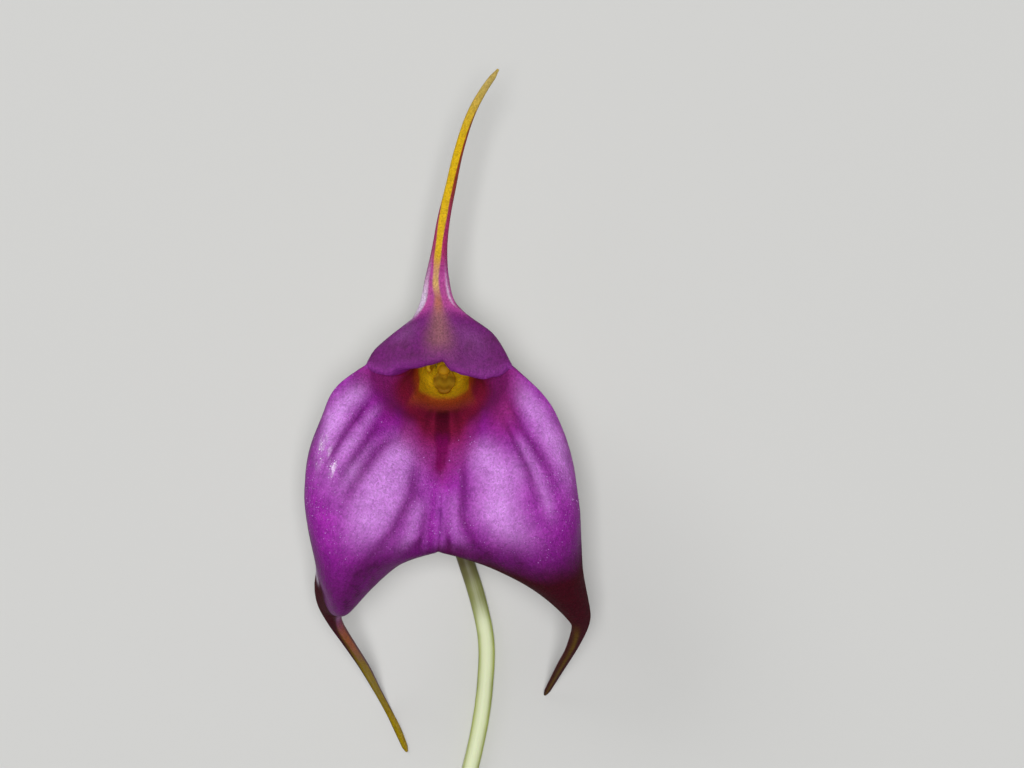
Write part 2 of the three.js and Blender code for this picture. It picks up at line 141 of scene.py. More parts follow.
def tail(centres, across):
    """A tail's two margins and middle line, from centres with their half widths."""
    centres = np.array(centres, float)
    middle, half_width = centres[:, :3], centres[:, 3:]
    along = units(np.vstack([middle[1] - middle[0], middle[2:] - middle[:-2], middle[-1] - middle[-2]]))
    side = unit(across) - along * (along @ unit(across))[:, None]
    side *= half_width / np.linalg.norm(side, axis=1, keepdims=True)
    return {"start": [*(middle - side)], "mid": [*middle], "end": [*(middle + side)]}


upper_tail = tail([
    (-0.4, 14.8, -0.3, 1.6), (-0.1, 18.8, -0.8, 1.1), (0.5, 23.3, -1.5, 0.9), (1.5, 28, -2.3, 0.76),
    (2.5, 32.6, -3.1, 0.68), (4.0, 37.5, -4.2, 0.62), (5.8, 41.2, -5.2, 0.54), (8.1, 44.6, -6, 0.4),
], [-1, 0, 0])
upper_sepal = {
    "name": "upper", "columns": UPPER_COLUMNS, "last": MOUTH + 12, "point": 0.35,
    "tail": [(MOUTH + 4.2, 0), (MOUTH + 6.5, 1)],
    "start": parting(seam_right, MOUTH, station_curve(MOUTH, [
        SINUS_RIGHT, [8.9, 4.8, -1.2], [7.2, 7.2, -1.2], [4.2, 9.4, -0.8], [2.0, 11.6, -0.3],
        *upper_tail["start"],
    ])),
    "mid": station_curve(0, [
        *tube_line(90), [0, 3.4, 1.0], [0, 6.0, 1.2], [-0.1, 8.4, 0.7], [-0.2, 10.4, 0.1],
        [-0.3, 12.2, -0.45], *upper_tail["mid"],
    ]),
    "end": parting(seam_left, MOUTH, station_curve(MOUTH, [
        SINUS_LEFT, [-9.2, 4.7, -1.2], [-6.6, 7.0, -1.2], [-4.1, 8.9, -0.8], [-2.7, 11.4, -0.3],
        *upper_tail["end"],
    ])),
}

right_tail = tail([
    (19.4, -35.8, -12.8, 1.15), (18.5, -38.2, -17, 0.9), (17.4, -40.5, -22, 0.8), (16.3, -43.0, -28.6, 0.65),
    (15.0, -45.9, -35.3, 0.45),
], [0.92, 0.18, -0.35])
right_sepal = {
    "name": "right", "columns": SIDE_COLUMNS, "last": MOUTH + 13, "point": 0.2,
    "tail": [(MOUTH + 6, 0), (MOUTH + 9, 1)],
    "start": parting(seam_below, NOTCH, station_curve(NOTCH, [
        NOTCH_POINT, [5.9, -24.8, -4], [11.5, -27.5, -5.2], [16.0, -30.8, -6.8], [18.4, -33.5, -9.2],
        *right_tail["start"],
    ])),
    "mid": station_curve(0, [
        *tube_line(330), [8.0, -4.2, -2.7], [10.4, -8.6, 0.4], [12.6, -14, 2.0], [14, -19.3, 2.0],
        [15, -23.5, 1.0], [16, -27, -0.8], [17.5, -29.6, -3], [18.9, -31.8, -5.8], [19.8, -33.6, -9.0],
        *right_tail["mid"],
    ]),
    "end": parting(seam_right, MOUTH, station_curve(MOUTH, [
        SINUS_RIGHT, [14.6, -1.7, -1.0], [17.0, -6.2, -2.0], [18.5, -11.1, -3.2], [19.2, -16.2, -4.2],
        [19.6, -21, -5], [19.9, -26, -6], [20.6, -30, -7.7], [21.0, -33.0, -10], *right_tail["end"],
    ])),
}

left_tail = tail([
    (-15.0, -34.4, -13.8, 1.2), (-13.2, -37.6, -17.8, 1.0), (-11.4, -41, -23.4, 0.9),
    (-9.8, -44.8, -30.4, 0.68), (-8.4, -47.9, -34.4, 0.58), (-6.9, -51.0, -34.98, 0.54),
    (-5.5, -54.3, -35.15, 0.4),
], [0.85, -0.52, 0])
left_sepal = {
    "name": "left", "columns": SIDE_COLUMNS, "last": MOUTH + 16, "point": 0.2,
    "tail": [(MOUTH + 7, 0), (MOUTH + 10, 1)],
    "start": parting(seam_left, MOUTH, station_curve(MOUTH, [
        SINUS_LEFT, [-14.5, -0.4, -1.0], [-16.5, -4.6, -2], [-18.3, -9.4, -3], [-18.9, -14.1, -3.8],
        [-18.6, -18.6, -4.5], [-17.8, -22.6, -5.5], [-17.5, -26, -7], [-17.8, -28.5, -9], [-17.3, -31, -11],
        *left_tail["start"],
    ])),
    "mid": station_curve(0, [
        *tube_line(210), [-8.0, -4.0, -2.7], [-10.4, -8.2, 0.4], [-12.4, -13, 2.0], [-13.6, -18.3, 2.2],
        [-14, -22.6, 1.6], [-14.2, -26, 0.6], [-14.6, -29.3, -1.2], [-14.7, -31.6, -4], [-15.4, -31.9, -7.4],
        [-15.8, -32.2, -10.6], *left_tail["mid"],
    ]),
    "end": parting(seam_below, NOTCH, station_curve(NOTCH, [
        NOTCH_POINT, [-5.1, -24.7, -4], [-9.1, -27.8, -4.5], [-12.3, -30.8, -5], [-13.7, -31.7, -7.6],
        [-14.2, -32.3, -10.5], *left_tail["end"],
    ])),
}

# Folds of the side sepals: the half width of each, its size, and its path as stations with the place between
# the middle seam (0) and the outer margin (1). The furrows over the main veins are sunk, by depths in
# millimetres, and the swellings between them are made lilac, by shares: partly their own paler colour and
# partly a painted highlight.
FURROWS = {
    "left": [
        (0.042, 0.5, [(4.8, 0.68), (5.6, 0.67), (6.8, 0.7), (7.9, 0.77)]),
        (0.042, 0.35, [(5.0, 0.46), (6.0, 0.5), (7.8, 0.6)]),
        (0.042, 0.2, [(5.2, 0.3), (6.0, 0.4), (8.2, 0.53)]),
        (0.032, 0.3, [(5.6, 0.15), (7.0, 0.135), (8.0, 0.2), (9.8, 0.38)]),
        (0.016, 0.1, [(7.0, 0.06), (8.2, 0.07), (9.6, 0.14)]),
    ],
    "right": [
        (0.048, 0.5, [(4.6, 0.68), (5.7, 0.625), (6.5, 0.655), (7.8, 0.72)]),
        (0.038, 0.35, [(4.8, 0.52), (6.0, 0.515), (7.9, 0.53)]),
        (0.028, 0.25, [(5.4, 0.14), (7.5, 0.09), (8.3, 0.13), (9.6, 0.2)]),
        (0.014, 0.1, [(7.4, 0.015), (8.2, 0.02), (9.6, 0.1)]),
    ],
}
SWELLINGS = {
    "left": [
        (0.135, 1.0, [(4.9, 0.24), (6.5, 0.27), (7.4, 0.285), (9.5, 0.42)]),
        (0.1, 0.9, [(4.5, 0.82), (6.2, 0.84), (7.8, 0.88)]),
        (0.05, 0.5, [(4.4, 0.565), (6.2, 0.6), (7.6, 0.7)]),
        (0.04, 0.45, [(5.6, 0.45), (7.8, 0.57)]),
        (0.035, 0.5, [(6.9, 0.085), (8.2, 0.12), (9.4, 0.2)]),
    ],
    "right": [
        (0.125, 1.0, [(5.05, 0.25), (6.5, 0.3), (7.5, 0.275), (9.3, 0.41)]),
        (0.12, 0.8, [(4.5, 0.86), (6.2, 0.82), (8.6, 0.86)]),
        (0.055, 0.6, [(5.6, 0.56), (7.0, 0.575), (8.6, 0.61)]),
        (0.035, 0.4, [(6.6, 0.055), (8.0, 0.06), (9.3, 0.13)]),
    ],
}
RIM_DROOP = [                      # how far the hood's rim hangs, from its right end (-1) to its left one (1)
    (-1, 0), (-0.8, 1.3), (-0.62, 1.85), (-0.36, 1.5), (-0.19, 1.0), (-0.05, -0.45), (0.2, 0.15), (0.35, 0.5),
    (0.58, 0.55), (0.74, 1.25), (0.86, 0.9), (1, 0),
]
SEPAL_HALF = 0.4                   # half the thickness of a blade
TAIL_HALF_MOST = 0.75
EDGE_ROUNDNESS = 0.7               # how far an edge stands out, in half thicknesses


def fold(station, side, half_width, path):
    """1 along the middle of one fold, 0 away from it."""
    stations, places = zip(*path)
    first, last = stations[0], stations[-1]
    begun = smooth(first, mix(first, last, 0.25), station)
    not_ended = fade(mix(first, last, 0.55), last, station)
    return begun * not_ended * bell(side, np.interp(station, stations, places), half_width)


def folds(station, side, rows):
    return sum(size * fold(station, side, half_width, path) for half_width, size, path in rows)


def veins(across, station):
    """Low lines that run along a sepal between its main veins, from -1 to 1."""
    waves = ((7, 0.4, 0.5), (12, 1.9, 0.7), (19, 4.1, 0.6), (31, 2.2, 0.45))
    return sum(size * np.sin(2 * np.pi * count * across + phase + 0.9 * np.sin(station * 0.8 + phase))
               for count, phase, size in waves) / sum(size for _, _, size in waves)


def tail_width(sepal, station):
    """The share of its width that a tail has between its round edges, and near its blunt point."""
    between = mix(1, 0.9, profile(sepal["tail"], station))
    return between * profile([(sepal["last"] - sepal["point"], 1), (sepal["last"], 0.5)], station)


def sepal_lattice(sepal):
    """The middle surface of one sepal: points, and for each its station, its place from the middle seam (0)
    to the outer margin (1), and its place from the start line (-1) to the end line (1)."""
    rows = np.arange(sepal["last"] * ROWS_EACH + 1) / ROWS_EACH
    w = np.linspace(-1, 1, sepal["columns"] + 1)[None, :]
    start, mid, end = (sepal[line](rows)[:, None, :] for line in ("start", "mid", "end"))
    station = rows[:, None] + 0 * w
    roundness = profile([(3, 0.5), (MOUTH + 0.5, 0)], station)
    bulge = ((1 - w * w) * (1 + roundness * w * w))[:, :, None]
    points = mix(start, end, (1 + w[:, :, None]) / 2) + (mid - (start + end) / 2) * bulge
    points = mix(mid, points, tail_width(sepal, station)[:, :, None])
    if sepal["name"] == "upper":
        side = np.abs(w) + 0 * station
        rim_reach = profile([(MOUTH - 1.2, 0), (MOUTH, 1), (MOUTH + 1, 0)], station)
        points[:, :, 1] -= profile(RIM_DROOP, w) * rim_reach
        blade = smooth(MOUTH, MOUTH + 1.5, station) * fade(MOUTH + 2.5, MOUTH + 3.8, station)
        points[:, :, 2] -= 0.05 * veins(w / 2, station) * blade
    else:
        side = (1 + w) / 2 if sepal["name"] == "right" else (1 - w) / 2
        side = side + 0 * station
        points[:, :, 2] -= folds(station, side, FURROWS[sepal["name"]])
        blade = smooth(MOUTH, MOUTH + 1.5, station) * fade(MOUTH + 6, MOUTH + 8, station)
        points[:, :, 2] -= 0.06 * veins(side, station) * blade * smooth(0, 0.1, 1 - side)
    return points, station, side, w + 0 * station


def half_thickness(sepal, points, station, w):
    """Even on the blade but thinner at the free edges, and round across a tail."""
    tailness = profile(sepal["tail"], station)
    half_width = np.linalg.norm(points[:, -1] - points[:, 0], axis=1)[:, None] / 2
    round_half = 0.8 * half_width * mix(0.2, 1, np.sqrt(1 - w * w))
    free = smooth(MOUTH, MOUTH + 1, station)
    if sepal["name"] != "upper":
        towards_seam = w < 0 if sepal["name"] == "right" else w > 0
        free = np.where(towards_seam, smooth(NOTCH, NOTCH + 1, station), free)
    blade = SEPAL_HALF * mix(1, mix(0.55, 1, smooth(0, 0.16, 1 - np.abs(w))), free)
    return mix(blade, np.minimum(round_half, TAIL_HALF_MOST), tailness)


def lattice_faces(ids):
    """The quads of a lattice of vertex numbers. Their front looks along (down the rows) x (along a row)."""
    return np.stack([ids[:-1, :-1], ids[1:, :-1], ids[1:, 1:], ids[:-1, 1:]], axis=-1).reshape(-1, 4)


def thicken(points, faces, half):
    """A closed skin round a sheet of quads: its front, its back and a rounded edge between them. Also gives
    the sheet's vertex under each vertex, and how far that is turned to the front (1) or the back (-1)."""
    normals = np.zeros_like(points)
    cross = np.cross(points[faces[:, 2]] - points[faces[:, 0]], points[faces[:, 3]] - points[faces[:, 1]])
    for corner in range(4):
        np.add.at(normals, faces[:, corner], cross)
    normals = units(normals)

    count = len(points)
    a, b = faces.ravel(), np.roll(faces, -1, axis=1).ravel()
    border = ~np.isin(a * count + b, b * count + a)
    a, b = a[border], b[border]
    outward = np.zeros_like(points)
    sideways = np.cross(points[b] - points[a], normals[a])
    np.add.at(outward, a, sideways)
    np.add.at(outward, b, sideways)
    edge = np.unique(a)
    edge_points = points[edge] + units(outward[edge]) * half[edge, None] * EDGE_ROUNDNESS
    on_edge = np.zeros(count, int)
    on_edge[edge] = 2 * count + np.arange(len(edge))

    offset = normals * half[:, None]
    vertices = np.vstack([points + offset, points - offset, edge_points])
    quads = np.vstack([
        faces, faces[:, ::-1] + count,
        np.stack([b, a, on_edge[a], on_edge[b]], axis=1),
        np.stack([on_edge[b], on_edge[a], a + count, b + count], axis=1),
    ])
    below = np.concatenate([np.arange(count), np.arange(count), edge])
    facing = np.concatenate([np.ones(count), -np.ones(count), np.zeros(len(edge))])
    return vertices, quads, below, facing


def join_lattices(lattices):
    """Lattices of points as one sheet, with the vertices on their shared seams made one."""
    points = np.vstack([lattice.reshape(-1, 3) for lattice in lattices])
    _, first, ids = np.unique(np.round(points, 4), axis=0, return_index=True, return_inverse=True)
    ids = ids.reshape(-1)
    faces, start = [], 0
    for lattice in lattices:
        rows, columns = lattice.shape[:2]
        faces.append(lattice_faces(ids[start:start + rows * columns].reshape(rows, columns)))
        start += rows * columns
    return points[first], np.vstack(faces), first


sepals = [upper_sepal, right_sepal, left_sepal]
lattices = [sepal_lattice(sepal) for sepal in sepals]
sheet, sheet_faces, kept = join_lattices([points for points, *_ in lattices])
halves = np.concatenate([
    half_thickness(sepal, points, station, w).ravel()
    for sepal, (points, station, _, w) in zip(sepals, lattices)
])[kept]
skin, skin_faces, under, facing = thicken(sheet, sheet_faces, halves)

MM = 0.001
MOUTH_PLACE = np.array([-1.04, 20.26, 35.52])     # the mouth in the row frame, in millimetres


def place(points):
    return (np.asarray(points, float) + MOUTH_PLACE) * MM


def new_mesh(name, points, faces, attributes=None, grain=None):
    """A smooth mesh in the row frame, with numbers on its vertices and a UV map for the grain."""
    mesh = bpy.data.meshes.new(name)
    mesh.from_pydata(place(points).tolist(), [], [list(map(int, face)) for face in faces])
    for key, values in (attributes or {}).items():
        mesh.attributes.new(key, "FLOAT", "POINT").data.foreach_set("value", np.asarray(values, np.float32))
    if grain is not None:
        corners = np.zeros(len(mesh.loops), np.int32)
        mesh.loops.foreach_get("vertex_index", corners)
        mesh.uv_layers.new(name="grain").data.foreach_set("uv", grain[corners].astype(np.float32).ravel())
    mesh.shade_smooth()
    return mesh


def new_piece(mesh, slot, *nodes):
    """A finished piece that rides on the flower's one body, in place of CAD nodes if they are given."""
    piece = bpy.data.objects.new(mesh.name, mesh)
    bpy.context.scene.collection.objects.link(piece)
    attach(piece, "root")
    if nodes:
        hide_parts(*nodes)


# ---------------------------------------------------------------- the calyx: its colours
# The face is a satin magenta purple of tightly packed cells, lilac between the veins, partly in its own
# colour and partly as a painted highlight, maroon round the throat and yellow in the tube, with painted shade
# in its furrows, under the hood's rim, along its curled edges and over the lower lobes. The reverse is
# whitish with mauve veins, the outside of the tube is green at its base and cream above, and the tails turn
# from maroon, on the right darkened by painted shade, to orange and olive.


def colour(red, green, blue):
    """A screen colour of 0 to 255 as linear light."""
    c = np.array([red, green, blue]) / 255
    linear = np.where(c <= 0.04045, c / 12.92, ((c + 0.055) / 1.055) ** 2.4)
    return (*linear.tolist(), 1.0)


def side_masks(name, s, a, w):
    """How much of each colour a point of a side sepal has, from its station and its places across."""
    blade = smooth(MOUTH - 0.6, MOUTH + 0.6, s) * fade(MOUTH + 4.5, MOUTH + 7, s)
    sunk = sum(fold(s, a, half_width, path) for half_width, _, path in FURROWS[name]).clip(0, 1)
    lower_edge = smooth(0.08, 0.0, a) * smooth(NOTCH - 0.3, NOTCH + 0.4, s)
    lower_edge += smooth(0.45, 0.08, a) * smooth(NOTCH - 1 + 0.45 * smooth(0.1, 0.0, a), NOTCH + 0.4, s)
    drift = 0.02 * smooth(5.6, 6.4, s)
    throat_end = profile([(0, 5.3), (0.1, 5.15), (0.27, 4.4), (0.57, 3.8), (1, 3.9)], a)
    yellow_end = profile([(0, 1.64), (0.2, 1.68), (0.45, 1.88), (0.6, 1.1), (1, 0.9)], a)
    haze = orange_stripe = blush = rim = 0 * s    # the right lobe has none of these
    if name == "right":
        plum_end = profile([(0.62, 5.1), (0.8, 4.7)], a)
        corner = 0.25 * bell(a, 0.72, 0.12) * bell(s, 4.9, 0.5) + 0.3 * bell(a, 0.84, 0.1) * bell(s, 5.2, 0.3)
        from_streak = a + drift
        # glow: a painted highlight on the lobe's brightest swelling
        glow = 0.38 * bell(a, 0.45, 0.06) * bell(s, 6.55, 0.4)
        outer_edge = 0.2 * smooth(0.9, 1.0, a) * smooth(6.5, 8, s)
        # painted shade over the lower lobe, which turns away from the light
        lower_shade = smooth(7.6, 9.9, s + 0.3 * bell(a, 0.3, 0.12))
        # The lower lobe and tail: maroon of their own, darkened as painted shade where they bend away from
        # the light.
        maroon_and_shade_end = smooth(9.0, 10.4, s + 0.8 * smooth(0.4, 0.0, a) - 0.35 * smooth(0.5, 0.9, a))
        olive_stripe = 0.28 * smooth(12.7, 14.0, s) * bell(w, -0.5, 0.35)
    else:
        yellow_end += 0.2 * bell(a, 0.5, 0.15)
        plum_end = 4.7 - 0.45 * bell(a, 0.65, 0.2)
        corner = 0.42 * bell(a, 0.93, 0.12) * bell(s, 5.35, 0.32)
        from_streak = a - drift
        haze = 0.3 * smooth(0.3, 0.45, a) * fade(0.75, 0.95, a)
        haze *= smooth(5.6, 6.4, s) * fade(7.3, 8.4, s)
        # glow: a painted highlight on the lobe's brightest swelling
        glow = 0.35 * bell(a, 0.5, 0.07) * bell(s, 6.85, 0.3)
        outer_edge = 0.55 * smooth(0.85, 1.0, a) * smooth(6.0, 7.2, s)
        # painted shade over the lower lobe, which turns away from the light
        lower_shade = smooth(7.9, 10.3, s - 0.6 * bell(a, 0.6, 0.2))
        reach = 0.4 * smooth(12.2, 13.4, s) + 0.16 * smooth(13.0, 13.8, s) * fade(16.4, 17.8, s)
        maroon_and_shade_end = smooth(0.66, 0.82, a + reach) * smooth(11.4, 12.2, s)
        whole_stripe = smooth(0.1, 0.6, w + 0.28 * (s - 15.5))
        orange_stripe = 0.78 * smooth(14.1, 15.5, s) * whole_stripe * fade(15.6, 17.2, s)
        olive_stripe = 0.93 * smooth(15.6, 17.2, s) * whole_stripe
        blush = 0.4 * bell(a, 0.25, 0.06) * bell(s, 5.2, 0.45)
        rim_line = np.interp(s, [9.0, 10.6, 11.4, 12.1], [1.0, 0.95, 0.91, 0.94])
        rim = 0.5 * smooth(-0.1, 0.06, a - rim_line) * smooth(9.0, 10.6, s) * fade(11.6, 12.2, s)
        # A painted highlight: a glossy whitish spot at the end of the folded margin.
        rim += 0.75 * bell(s, 12.1, 0.2) * smooth(0.86, 0.93, a)
        rim += 0.12 * bell(s, 14.2, 0.3) * bell(w, 0.8, 0.3)
    dark_streaks = 0.85 * smooth(0.064, 0.04, np.abs(from_streak))
    dark_streaks += 0.45 * bell(a, 0.12, 0.035) * smooth(5.5, 4.8, s)
    dark_streaks += 0.3 * bell(a, 0.07, 0.03) * smooth(4.3, 4.8, s)
    crimson_half = mix(0.05, 0.036, smooth(5.2, 5.8, s))
    return {
        # Lilac between the veins: partly the swellings' own paler colour, partly a painted highlight.
        "flush": (blade * (folds(s, a, SWELLINGS[name]) + haze) * (1 - 0.7 * sunk) + glow).clip(0, 1),
        # Painted shade: in the furrows, in the corners under the hood's rim, along the curled edges and over
        # the lower lobes.
        "shade": (0.6 * sunk * blade + corner + lower_edge + outer_edge + 0.85 * lower_shade).clip(0, 1),
        "dusk": 0.18 * bell(s, 14.2, 0.5) * (name == "left"),
        # Plum round the throat, deepened at its sides towards the sinuses as painted shade under the hood's
        # rim.
        "plum": np.maximum(smooth(0.25, 0.55, a) * fade(0, 1, s - plum_end),
                           0.85 * fade(6.1, 7.1, s + 5 * a)),
        "maroon": fade(-0.55, 0.65, s - throat_end),
        "wine": smooth(0.2, 0.5, a) * fade(3.4, 4.4, s),
        "crimson": smooth(0.01, -0.01, np.abs(from_streak) - crimson_half)
        * smooth(4.6, 5.2, s) * fade(6.1, 6.5, s + 5 * np.abs(from_streak)),
        "blackish": dark_streaks.clip(0, 0.9) * smooth(2.8, 3.4, s) * fade(5.0, 5.5, s),
        "orange": fade(0.4, 2.0, s - yellow_end),
        "yellow": fade(-0.1, 0.5, s - yellow_end),
        "rose": blush,
        "rust": orange_stripe,
        # Maroon towards the tails, on the right side partly painted shade.
        "dark_tail": maroon_and_shade_end,
        "dark_back": smooth(11.0, 12.6, s) if name == "right" else smooth(12.2, 13.6, s),
        "pale_edge": rim,
        "stripe": 0.18 * orange_stripe,
        "moss": olive_stripe,
    }


def upper_masks(s, w):
    """The same for the upper sepal. Its right margin is at -1 and its left one at 1."""
    a = np.abs(w)
    centre = profile([(9, 0), (10, 0.13), (12, 0.15), (13, 0.45), (15, 0.4), (17, 0)], s)
    half = profile([(7.5, 0.1), (10, 0.22), (11, 0.42), (12.3, 0.66), (13, 0.84), (14, 1.05), (15.5, 1.3)], s)
    band = smooth(0.14, -0.08, np.abs(w - centre) - half) * smooth(7.0, 8.4, s)
    brown = profile([(5.1, 0.2), (6.3, 0.8), (7.2, 0.85), (8.2, 1), (8.7, 1), (9.6, 0.2)], s)
    left_edge = smooth(0.62, 0.82, w) * bell(s, 9.0, 1.2) * smooth(6.8, 7.7, s)
    return {
        # Lilac on the hood: a painted sheen on its wings and a painted highlight along its rim.
        "flush": 0.45 * bell(w, 0.62, 0.2) * bell(s, 6.7, 0.7) + 0.35 * bell(w, -0.5, 0.3) * bell(s, 6.3, 0.8)
        + 0.08 * bell(s, MOUTH + 0.1, 0.3),
        # Painted shade on the hood, which faces away from the light.
        "shade": 0.85 * smooth(MOUTH - 0.4, MOUTH + 0.5, s) * fade(MOUTH + 2.5, MOUTH + 4, s),
        "dusk": np.maximum(bell(w, 0, 0.22) * brown, 0.07 * fade(MOUTH + 2, MOUTH + 3, s)),
        "maroon": fade(4.0, 4.8, s),
        "wine": smooth(9.8, 11.0, s),
        "orange": fade(3.2, 3.9, s),
        "yellow": fade(2.8, 3.5, s),
        "rose": smooth(7.2, 8.8, s) * (1 - 0.8 * smooth(9.8, 11.0, s)) * (1 - 0.8 * bell(w, 0.04, 0.2)),
        "rust": smooth(11.6, 13.2, s),
        "pale_edge": left_edge + 0.75 * bell(w, -0.84, 0.11) * bell(s, 9.4, 0.8),
        "salmon": band * bell(s, 8.75, 1.05),
        "straw": band * bell(s, 9.9, 0.55),
        "stripe": band * smooth(10.0, 11.0, s),
        "olive": smooth(MOUTH + 9.3, MOUTH + 11.6, s),
    }


def over_skin(values):
    """A number for each vertex of the skin, from an array of them for each sepal's lattice."""
    return np.concatenate([value.ravel() for value in values])[kept][under]


def spared(values, shares):
    """Values that give way, by shares, to some of the colours."""
    for mask, share in shares.items():
        values = values * (1 - share * calyx_attributes[mask])
    return values


masks = [
    upper_masks(station, w) if sepal["name"] == "upper" else side_masks(sepal["name"], station, side, w)
    for sepal, (_, station, side, w) in zip(sepals, lattices)
]
stations_all = over_skin([station for _, station, _, _ in lattices])
across_all = over_skin([side for _, _, side, _ in lattices])
is_left, is_side = (
    over_skin([np.full(w.shape, sepal["name"] in names) for sepal, (_, _, _, w) in zip(sepals, lattices)])
    for names in (("left",), ("left", "right")))
frost = bell(across_all, 0.82, 0.04) * bell(stations_all, 7.15, 0.3)
frost += bell(across_all, 0.66, 0.03) * bell(stations_all, 7.1, 0.2)
frost = is_left * (frost + 0.6 * bell(across_all, 0.75, 0.02) * bell(stations_all, 6.95, 0.12))
pleated = smooth(0.08, 0.05, across_all) * smooth(6.4, 7.2, stations_all)
pleated *= fade(8.3, 9.2, stations_all)
face_reach = smooth(MOUTH, MOUTH + 1, stations_all) * fade(MOUTH + 4.5, MOUTH + 6, stations_all)
calyx_attributes = {
    key: over_skin([mask.get(key, 0 * lattice[1]) for mask, lattice in zip(masks, lattices)])
    for key in sorted({key for mask in masks for key in mask})
}
calyx_attributes |= {
    "frost": frost,
    "pleats": is_side * pleated,
    "open_face": spared(is_side * face_reach, {"crimson": 1.0, "plum": 0.6, "shade": 0.85, "dark_tail": 1.0}),
    "reverse": smooth(-0.1, -0.9, facing),
    "green_tube": fade(1.0, 3.9, stations_all),
    "cream_tube": fade(3.4, 5.4, stations_all),
}
LENGTH_EACH = 4.0                  # millimetres from one station to the next
WIDTH_ACROSS = 18.0
calyx_grain = np.stack([across_all * WIDTH_ACROSS, stations_all * LENGTH_EACH], axis=1)
calyx_mesh = new_mesh("sepals_skin", skin, skin_faces, calyx_attributes, calyx_grain)


def grey(level):
    return (level, level, level, 1.0)


def put(tree, socket, value):
    """Sets an input, or links it where the value is another node's output."""
    if isinstance(value, bpy.types.NodeSocket):
        tree.links.new(value, socket)
    else:
        socket.default_value = value


def add_node(tree, kind, settings=None, **inputs):
    """A node with its settings and inputs. An input's name has underscores for spaces, or is in_ and its
    number. Gives the node's first output."""
    node = tree.nodes.new(kind)
    for key, value in (settings or {}).items():
        setattr(node, key, value)
    for key, value in inputs.items():
        socket = node.inputs[int(key[3:])] if key.startswith("in_") else node.inputs[key.replace("_", " ")]
        put(tree, socket, value)
    return next(output for output in node.outputs if output.enabled)


def math_node(tree, operation, first, second=0.0):
    return add_node(tree, "ShaderNodeMath", {"operation": operation}, in_0=first, in_1=second)


def times(tree, first, second):
    return math_node(tree, "MULTIPLY", first, second)


def ranged(tree, value, low, high, to_low=0.0, to_high=1.0):
    """A value brought from one range to another, and kept inside it."""
    return add_node(tree, "ShaderNodeMapRange", Value=value, From_Min=low, From_Max=high,
                    To_Min=to_low, To_Max=to_high)


def mixed(tree, share, first, second, blend="MIX"):
    node = tree.nodes.new("ShaderNodeMix")
    node.data_type, node.blend_type = "RGBA", blend
    for socket in node.inputs:
        if socket.identifier in ("Factor_Float", "A_Color", "B_Color"):
            put(tree, socket, {"F": share, "A": first, "B": second}[socket.identifier[0]])
    return next(output for output in node.outputs if output.identifier == "Result_Color")


def attribute(tree, name):
    node = tree.nodes.new("ShaderNodeAttribute")
    node.attribute_name = name
    return node.outputs["Fac"]


def new_material(name, roughness, specular=0.5, **uniform):
    material = bpy.data.materials.new(name)
    material.use_nodes = True
    shader = material.node_tree.nodes["Principled BSDF"]
    shader.inputs["Roughness"].default_value = roughness
    shader.inputs["Specular IOR Level"].default_value = specular
    for key, value in uniform.items():
        shader.inputs[key.replace("_", " ")].default_value = value
    return material, material.node_tree, shader


def object_place(tree):
    node = tree.nodes.new("ShaderNodeTexCoord")
    return node.outputs["Object"]


def grain_place(tree, across, along):
    """The piece's own grain coordinates, scaled each way."""
    uv = add_node(tree, "ShaderNodeUVMap", {"uv_map": "grain"})
    return add_node(tree, "ShaderNodeMapping", Vector=uv, Scale=(across, along, 1.0))


def noise(tree, vector, scale, detail=2.0, roughness=0.5):
    return add_node(tree, "ShaderNodeTexNoise", Vector=vector, Scale=scale, Detail=detail,
                    Roughness=roughness)


def cells(tree, vector, scale):
    """A different grey for each of many small cells, and the distance from the middle of each."""
    voronoi = tree.nodes.new("ShaderNodeTexVoronoi")
    put(tree, voronoi.inputs["Vector"], vector)
    voronoi.inputs["Scale"].default_value = scale
    return ranged(tree, voronoi.outputs["Color"], 0.0, 1.0), voronoi.outputs["Distance"]


def bump(tree, shader, height, distance):
    add = tree.nodes.new("ShaderNodeBump")
    add.inputs["Distance"].default_value = distance
    add.inputs["Strength"].default_value = 1.0
    put(tree, add.inputs["Height"], height)
    tree.links.new(add.outputs["Normal"], shader.inputs["Normal"])


PURPLE = colour(166, 42, 172)
PURPLE_DEEP = colour(132, 20, 140)
LILAC = colour(212, 146, 228)
SHADE = colour(76, 11, 70)
# The lilac layer is partly a painted highlight; the shade, plum and tail layers are partly painted shade.
SKIN_LAYERS = [                    # mask, colour, share: each is laid over the ones before it
    ("flush", LILAC, 0.93), ("shade", SHADE, 0.9), ("dusk", colour(152, 100, 98), 0.9),
    ("plum", colour(142, 38, 112), 0.9), ("maroon", colour(154, 28, 70), 0.95),
    ("wine", colour(158, 32, 70), 0.9),
    ("blackish", colour(72, 1, 28), 0.92), ("crimson", colour(118, 4, 84), 0.95),
    ("orange", colour(206, 98, 42), 1.0), ("yellow", colour(230, 190, 22), 1.0),
    ("rose", colour(176, 74, 140), 0.9), ("rust", colour(138, 54, 18), 0.9),
    ("dark_tail", colour(58, 3, 8), 0.97), ("pale_edge", colour(208, 192, 216), 0.9),
    ("salmon", colour(178, 106, 84), 0.8), ("straw", colour(212, 176, 92), 0.85),
    ("stripe", colour(212, 174, 12), 0.95), ("moss", colour(148, 126, 3), 0.95),
    ("olive", colour(176, 156, 92), 0.85),
]
REVERSE_LAYERS = [
    ("cream_tube", colour(210, 200, 150), 0.75), ("green_tube", colour(168, 178, 84), 0.85),
    ("rose", colour(170, 92, 130), 0.6), ("rust", colour(128, 60, 48), 0.7),
    ("dark_back", colour(84, 22, 30), 0.9), ("stripe", colour(170, 116, 44), 0.35),
    ("olive", colour(150, 136, 74), 0.6),
]
